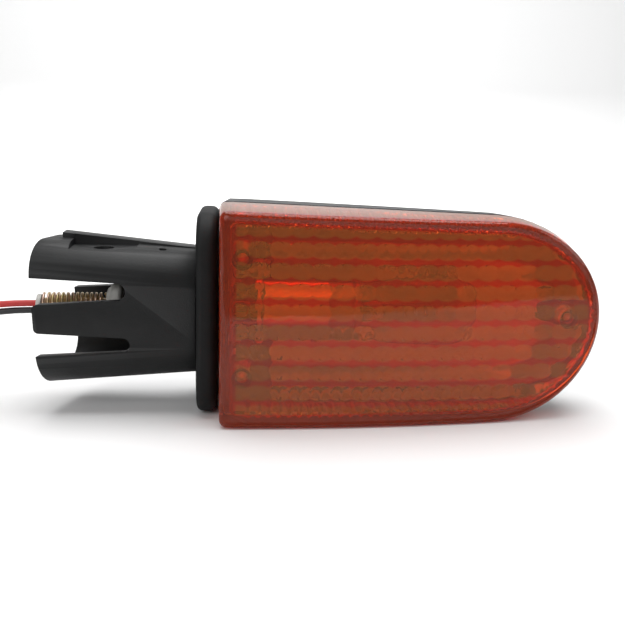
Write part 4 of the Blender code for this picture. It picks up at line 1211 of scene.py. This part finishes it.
def make_plug(colour):
    """The plug on a lead's end: a soft sleeve and a bullet."""
    low, high = span_of(f"{colour}_sleeve")
    centre = (0.0, (low.y + high.y) / 2, (low.z + high.z) / 2)
    start, end = low.x, high.x
    sleeve = turn_profile(f"{colour}_plug_sleeve", [
        (start, 0.0), (start, 0.0014), (start + 0.0030, 0.0021), (start + 0.0036, 0.0026),
        (end - 0.0060, 0.0026), (end - 0.0056, 0.0024), (end - 0.0050, 0.0024),
        (end - 0.0046, 0.0026), (end, 0.0026), (end, 0.0021), (end - 0.003, 0.0021),
        (end - 0.003, 0.0),
    ], centre, X, 40, ease=0.0003)
    finish(sleeve, f"{colour}_sheath", f"{colour}_sleeve")
    nose, tip = (corner.x - ORIGIN.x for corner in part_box(f"{colour}_bullet"))
    bullet = turn_profile(f"{colour}_plug_bullet", [
        (nose - 0.0022, 0.0), (nose - 0.0022, 0.0015), (nose + 0.0030, 0.0015),
        (nose + 0.0034, 0.0020), (nose + 0.0056, 0.0020), (nose + 0.0070, 0.0013), (tip, 0.0006),
        (tip, 0.0),
    ], centre, X, 36, ease=0.0003)
    finish(bullet, "nickelled_brass", f"{colour}_bullet")
    return [sleeve, bullet]


def make_tie():
    """The flat tie round both coils, with its lock."""
    low, high = span_of("coil_tie")
    tie = block("tie", low, high)
    pick(tie, "EDGE", lambda edge: abs((edge.verts[0].co - edge.verts[1].co).normalized().y) > 0.9)
    bpy.ops.mesh.bevel(offset=0.0009, segments=4, affect="EDGES")
    pick(tie, "FACE", lambda face: abs(face.normal.y) > 0.99)
    bpy.ops.mesh.inset(thickness=0.0006)
    bpy.ops.mesh.delete(type="FACE")
    pick_border(tie)
    bpy.ops.mesh.bridge_edge_loops()
    mend(tie)
    lock = block(
        "lock", (low.x + 0.0004, low.y - 0.0006, high.z - 0.0005),
        (high.x - 0.0004, high.y + 0.0006, high.z + 0.0011),
    )
    cut(tie, [lock], "UNION")
    soften(tie, 0.00015, 50)
    return finish(tie, "black_plastic", "coil_tie")


# ------------------------------------------------------------------ stage


def make_stage():
    """A pale floor with a rising back, soft lights and the camera."""
    deselect()
    bpy.ops.mesh.primitive_plane_add(size=1, location=(0, 0, 0))
    floor = named("floor")
    pick_all(floor)
    reshape(floor, lambda spot: Vector((spot.x * 8, spot.y * 1.26 + 0.47, -0.0002)))
    pick(floor, "EDGE", lambda edge: all(v.co.y > 1 for v in edge.verts))
    for step in ((0, 0.5, 0.1), (0, 0.3, 0.4), (0, 0.1, 3.0)):
        bpy.ops.mesh.extrude_region_move(TRANSFORM_OT_translate={"value": step})
    bpy.ops.object.mode_set(mode="OBJECT")
    bpy.ops.object.shade_smooth_by_angle(angle=math.radians(80))
    pale = Finish("pale_floor", (0.92, 0.92, 0.92), 0.9)
    pale.set("Roughness", 0.85 + 0.1 * pale.noise(3, 2))
    floor.data.materials.append(pale.material)

    world = bpy.data.worlds.new("studio")
    world.use_nodes = True
    world.node_tree.nodes["Background"].inputs["Color"].default_value = (1.0, 1.0, 1.0, 1.0)
    world.node_tree.nodes["Background"].inputs["Strength"].default_value = 0.32
    bpy.context.scene.world = world
    for name, place, size, power in (
        ("top", (0.02, 0.12, 0.75), 0.8, 6.0),
        ("front", (-0.45, -0.75, 0.55), 0.6, 2.4),
        ("side", (0.8, 0.1, 0.45), 0.5, 1.0),
        ("back", (0.0, 0.55, 0.9), 0.8, 14.0),
    ):
        light = bpy.data.lights.new(name, "AREA")
        light.shape = "DISK"
        light.size = size
        light.energy = power
        lamp = bpy.data.objects.new(name, light)
        lamp.location = place
        target = (0.0, 1.6, 0.3) if name == "back" else (0.0, 0.0, 0.03)
        lamp.rotation_euler = (Vector(target) - lamp.location).to_track_quat("-Z", "Y").to_euler()
        bpy.context.scene.collection.objects.link(lamp)
    make_camera()
    bpy.context.scene.view_settings.view_transform = "Standard"


def make_camera():
    """The camera: slightly above, slightly turned and slightly rolled."""
    yaw, pitch, roll = 0.051, 0.200, 0.021
    flat = math.cos(pitch)
    forward = Vector((math.sin(yaw) * flat, math.cos(yaw) * flat, -math.sin(pitch)))
    level = forward.cross(Z).normalized()
    up = level.cross(forward)
    right = level * math.cos(roll) + up * math.sin(roll)
    up = right.cross(forward)
    camera = bpy.data.objects.new("camera", bpy.data.cameras.new("camera"))
    camera.data.lens = 60.8
    camera.data.sensor_width = 36.0
    camera.data.clip_start = 0.01
    turn = Matrix((right, up, -forward)).transposed().to_4x4()
    camera.matrix_world = Matrix.Translation(at(0.0106, -0.2693, 0.0810)) @ turn
    bpy.context.scene.collection.objects.link(camera)
    bpy.context.scene.camera = camera


# ------------------------------------------------------------------ operators and panel


class SIGNAL_OT_finishes(bpy.types.Operator):
    """Make the finishes and give each carried-over node its own"""

    bl_idname = "turn_signal.finishes"
    bl_label = "Finishes"

    def execute(self, context):
        make_finishes(context.scene.signal_colours, context.scene.signal_lamp)
        for part in frame["record"]["subparts"]:
            node = frame["nodes"][part["node"]]
            node.data.materials.clear()
            node.data.materials.append(finish_of(part["material_slot"]))
        return {"FINISHED"}


class SIGNAL_OT_leads(bpy.types.Operator):
    """Model the two leads with their plugs and the coil's tie"""

    bl_idname = "turn_signal.leads"
    bl_label = "Leads"

    def execute(self, context):
        for level, colour in enumerate(("black", "red")):
            make_lead(colour, context.scene.signal_leads, level)
        make_tie()
        return {"FINISHED"}


class SIGNAL_OT_lens(bpy.types.Operator):
    """Model the amber lens"""

    bl_idname = "turn_signal.lens"
    bl_label = "Lens"

    def execute(self, context):
        make_lens(context.scene.signal_lamp)
        return {"FINISHED"}


class SIGNAL_OT_housing(bpy.types.Operator):
    """Model the rear housing and the reflector"""

    bl_idname = "turn_signal.housing"
    bl_label = "Housing and reflector"

    def execute(self, context):
        make_housing(context.scene.signal_lamp)
        make_reflector(context.scene.signal_lamp)
        return {"FINISHED"}


class SIGNAL_OT_stalk(bpy.types.Operator):
    """Model the rubber pad and the slotted stalk"""

    bl_idname = "turn_signal.stalk"
    bl_label = "Pad and stalk"

    def execute(self, context):
        make_pad()
        make_stalk(context.scene.signal_stalk)
        return {"FINISHED"}


class SIGNAL_OT_clamp(bpy.types.Operator):
    """Model the guide tube, collar, spring and seat"""

    bl_idname = "turn_signal.clamp"
    bl_label = "Sprung clamp"

    def execute(self, context):
        make_clamp(context.scene.signal_stalk)
        return {"FINISHED"}


class SIGNAL_OT_screws(bpy.types.Operator):
    """Model the lamp's screws"""

    bl_idname = "turn_signal.screws"
    bl_label = "Screws"

    def execute(self, context):
        for node in sorted(frame["nodes"]):
            if "_screw" in node:
                make_screw(f"{node}_threaded", node)
        return {"FINISHED"}


class SIGNAL_OT_bulb(bpy.types.Operator):
    """Model the bulb and the spring behind its plunger"""

    bl_idname = "turn_signal.bulb"
    bl_label = "Bulb"

    def execute(self, context):
        make_bulb()
        make_plunger_spring()
        return {"FINISHED"}


class SIGNAL_OT_stage(bpy.types.Operator):
    """Set up the floor, the lights and the camera"""

    bl_idname = "turn_signal.stage"
    bl_label = "Stage"

    def execute(self, context):
        make_stage()
        return {"FINISHED"}


STEPS = (
    SIGNAL_OT_finishes, SIGNAL_OT_leads, SIGNAL_OT_lens, SIGNAL_OT_housing, SIGNAL_OT_stalk,
    SIGNAL_OT_clamp, SIGNAL_OT_screws, SIGNAL_OT_bulb, SIGNAL_OT_stage,
)


class SIGNAL_PT_panel(bpy.types.Panel):
    """The turn signal's pieces, sizes and colours"""

    bl_idname = "SIGNAL_PT_panel"
    bl_label = "Turn signal"
    bl_space_type = "VIEW_3D"
    bl_region_type = "UI"
    bl_category = "Turn signal"

    def draw(self, context):
        for step in STEPS:
            self.layout.operator(step.bl_idname)
        for group in GROUPS:
            box = self.layout.box()
            box.label(text=group[1].__doc__)
            settings = getattr(context.scene, group[0])
            for key in group[1].__annotations__:
                box.prop(settings, key)


GROUPS = (
    ("signal_lamp", LampSizes), ("signal_stalk", StalkSizes), ("signal_leads", LeadSizes),
    ("signal_colours", SignalColours),
)


def register():
    for name, group in GROUPS:
        bpy.utils.register_class(group)
        setattr(bpy.types.Scene, name, PointerProperty(type=group))
    for kind in STEPS + (SIGNAL_PT_panel,):
        bpy.utils.register_class(kind)


def unregister():
    for kind in (SIGNAL_PT_panel,) + STEPS[::-1]:
        bpy.utils.unregister_class(kind)
    for name, group in GROUPS[::-1]:
        delattr(bpy.types.Scene, name)
        bpy.utils.unregister_class(group)


def main():
    register()
    for step in STEPS:
        family, name = step.bl_idname.split(".")
        getattr(getattr(bpy.ops, family), name)()
    deselect()


if __name__ == "__main__":
    main()
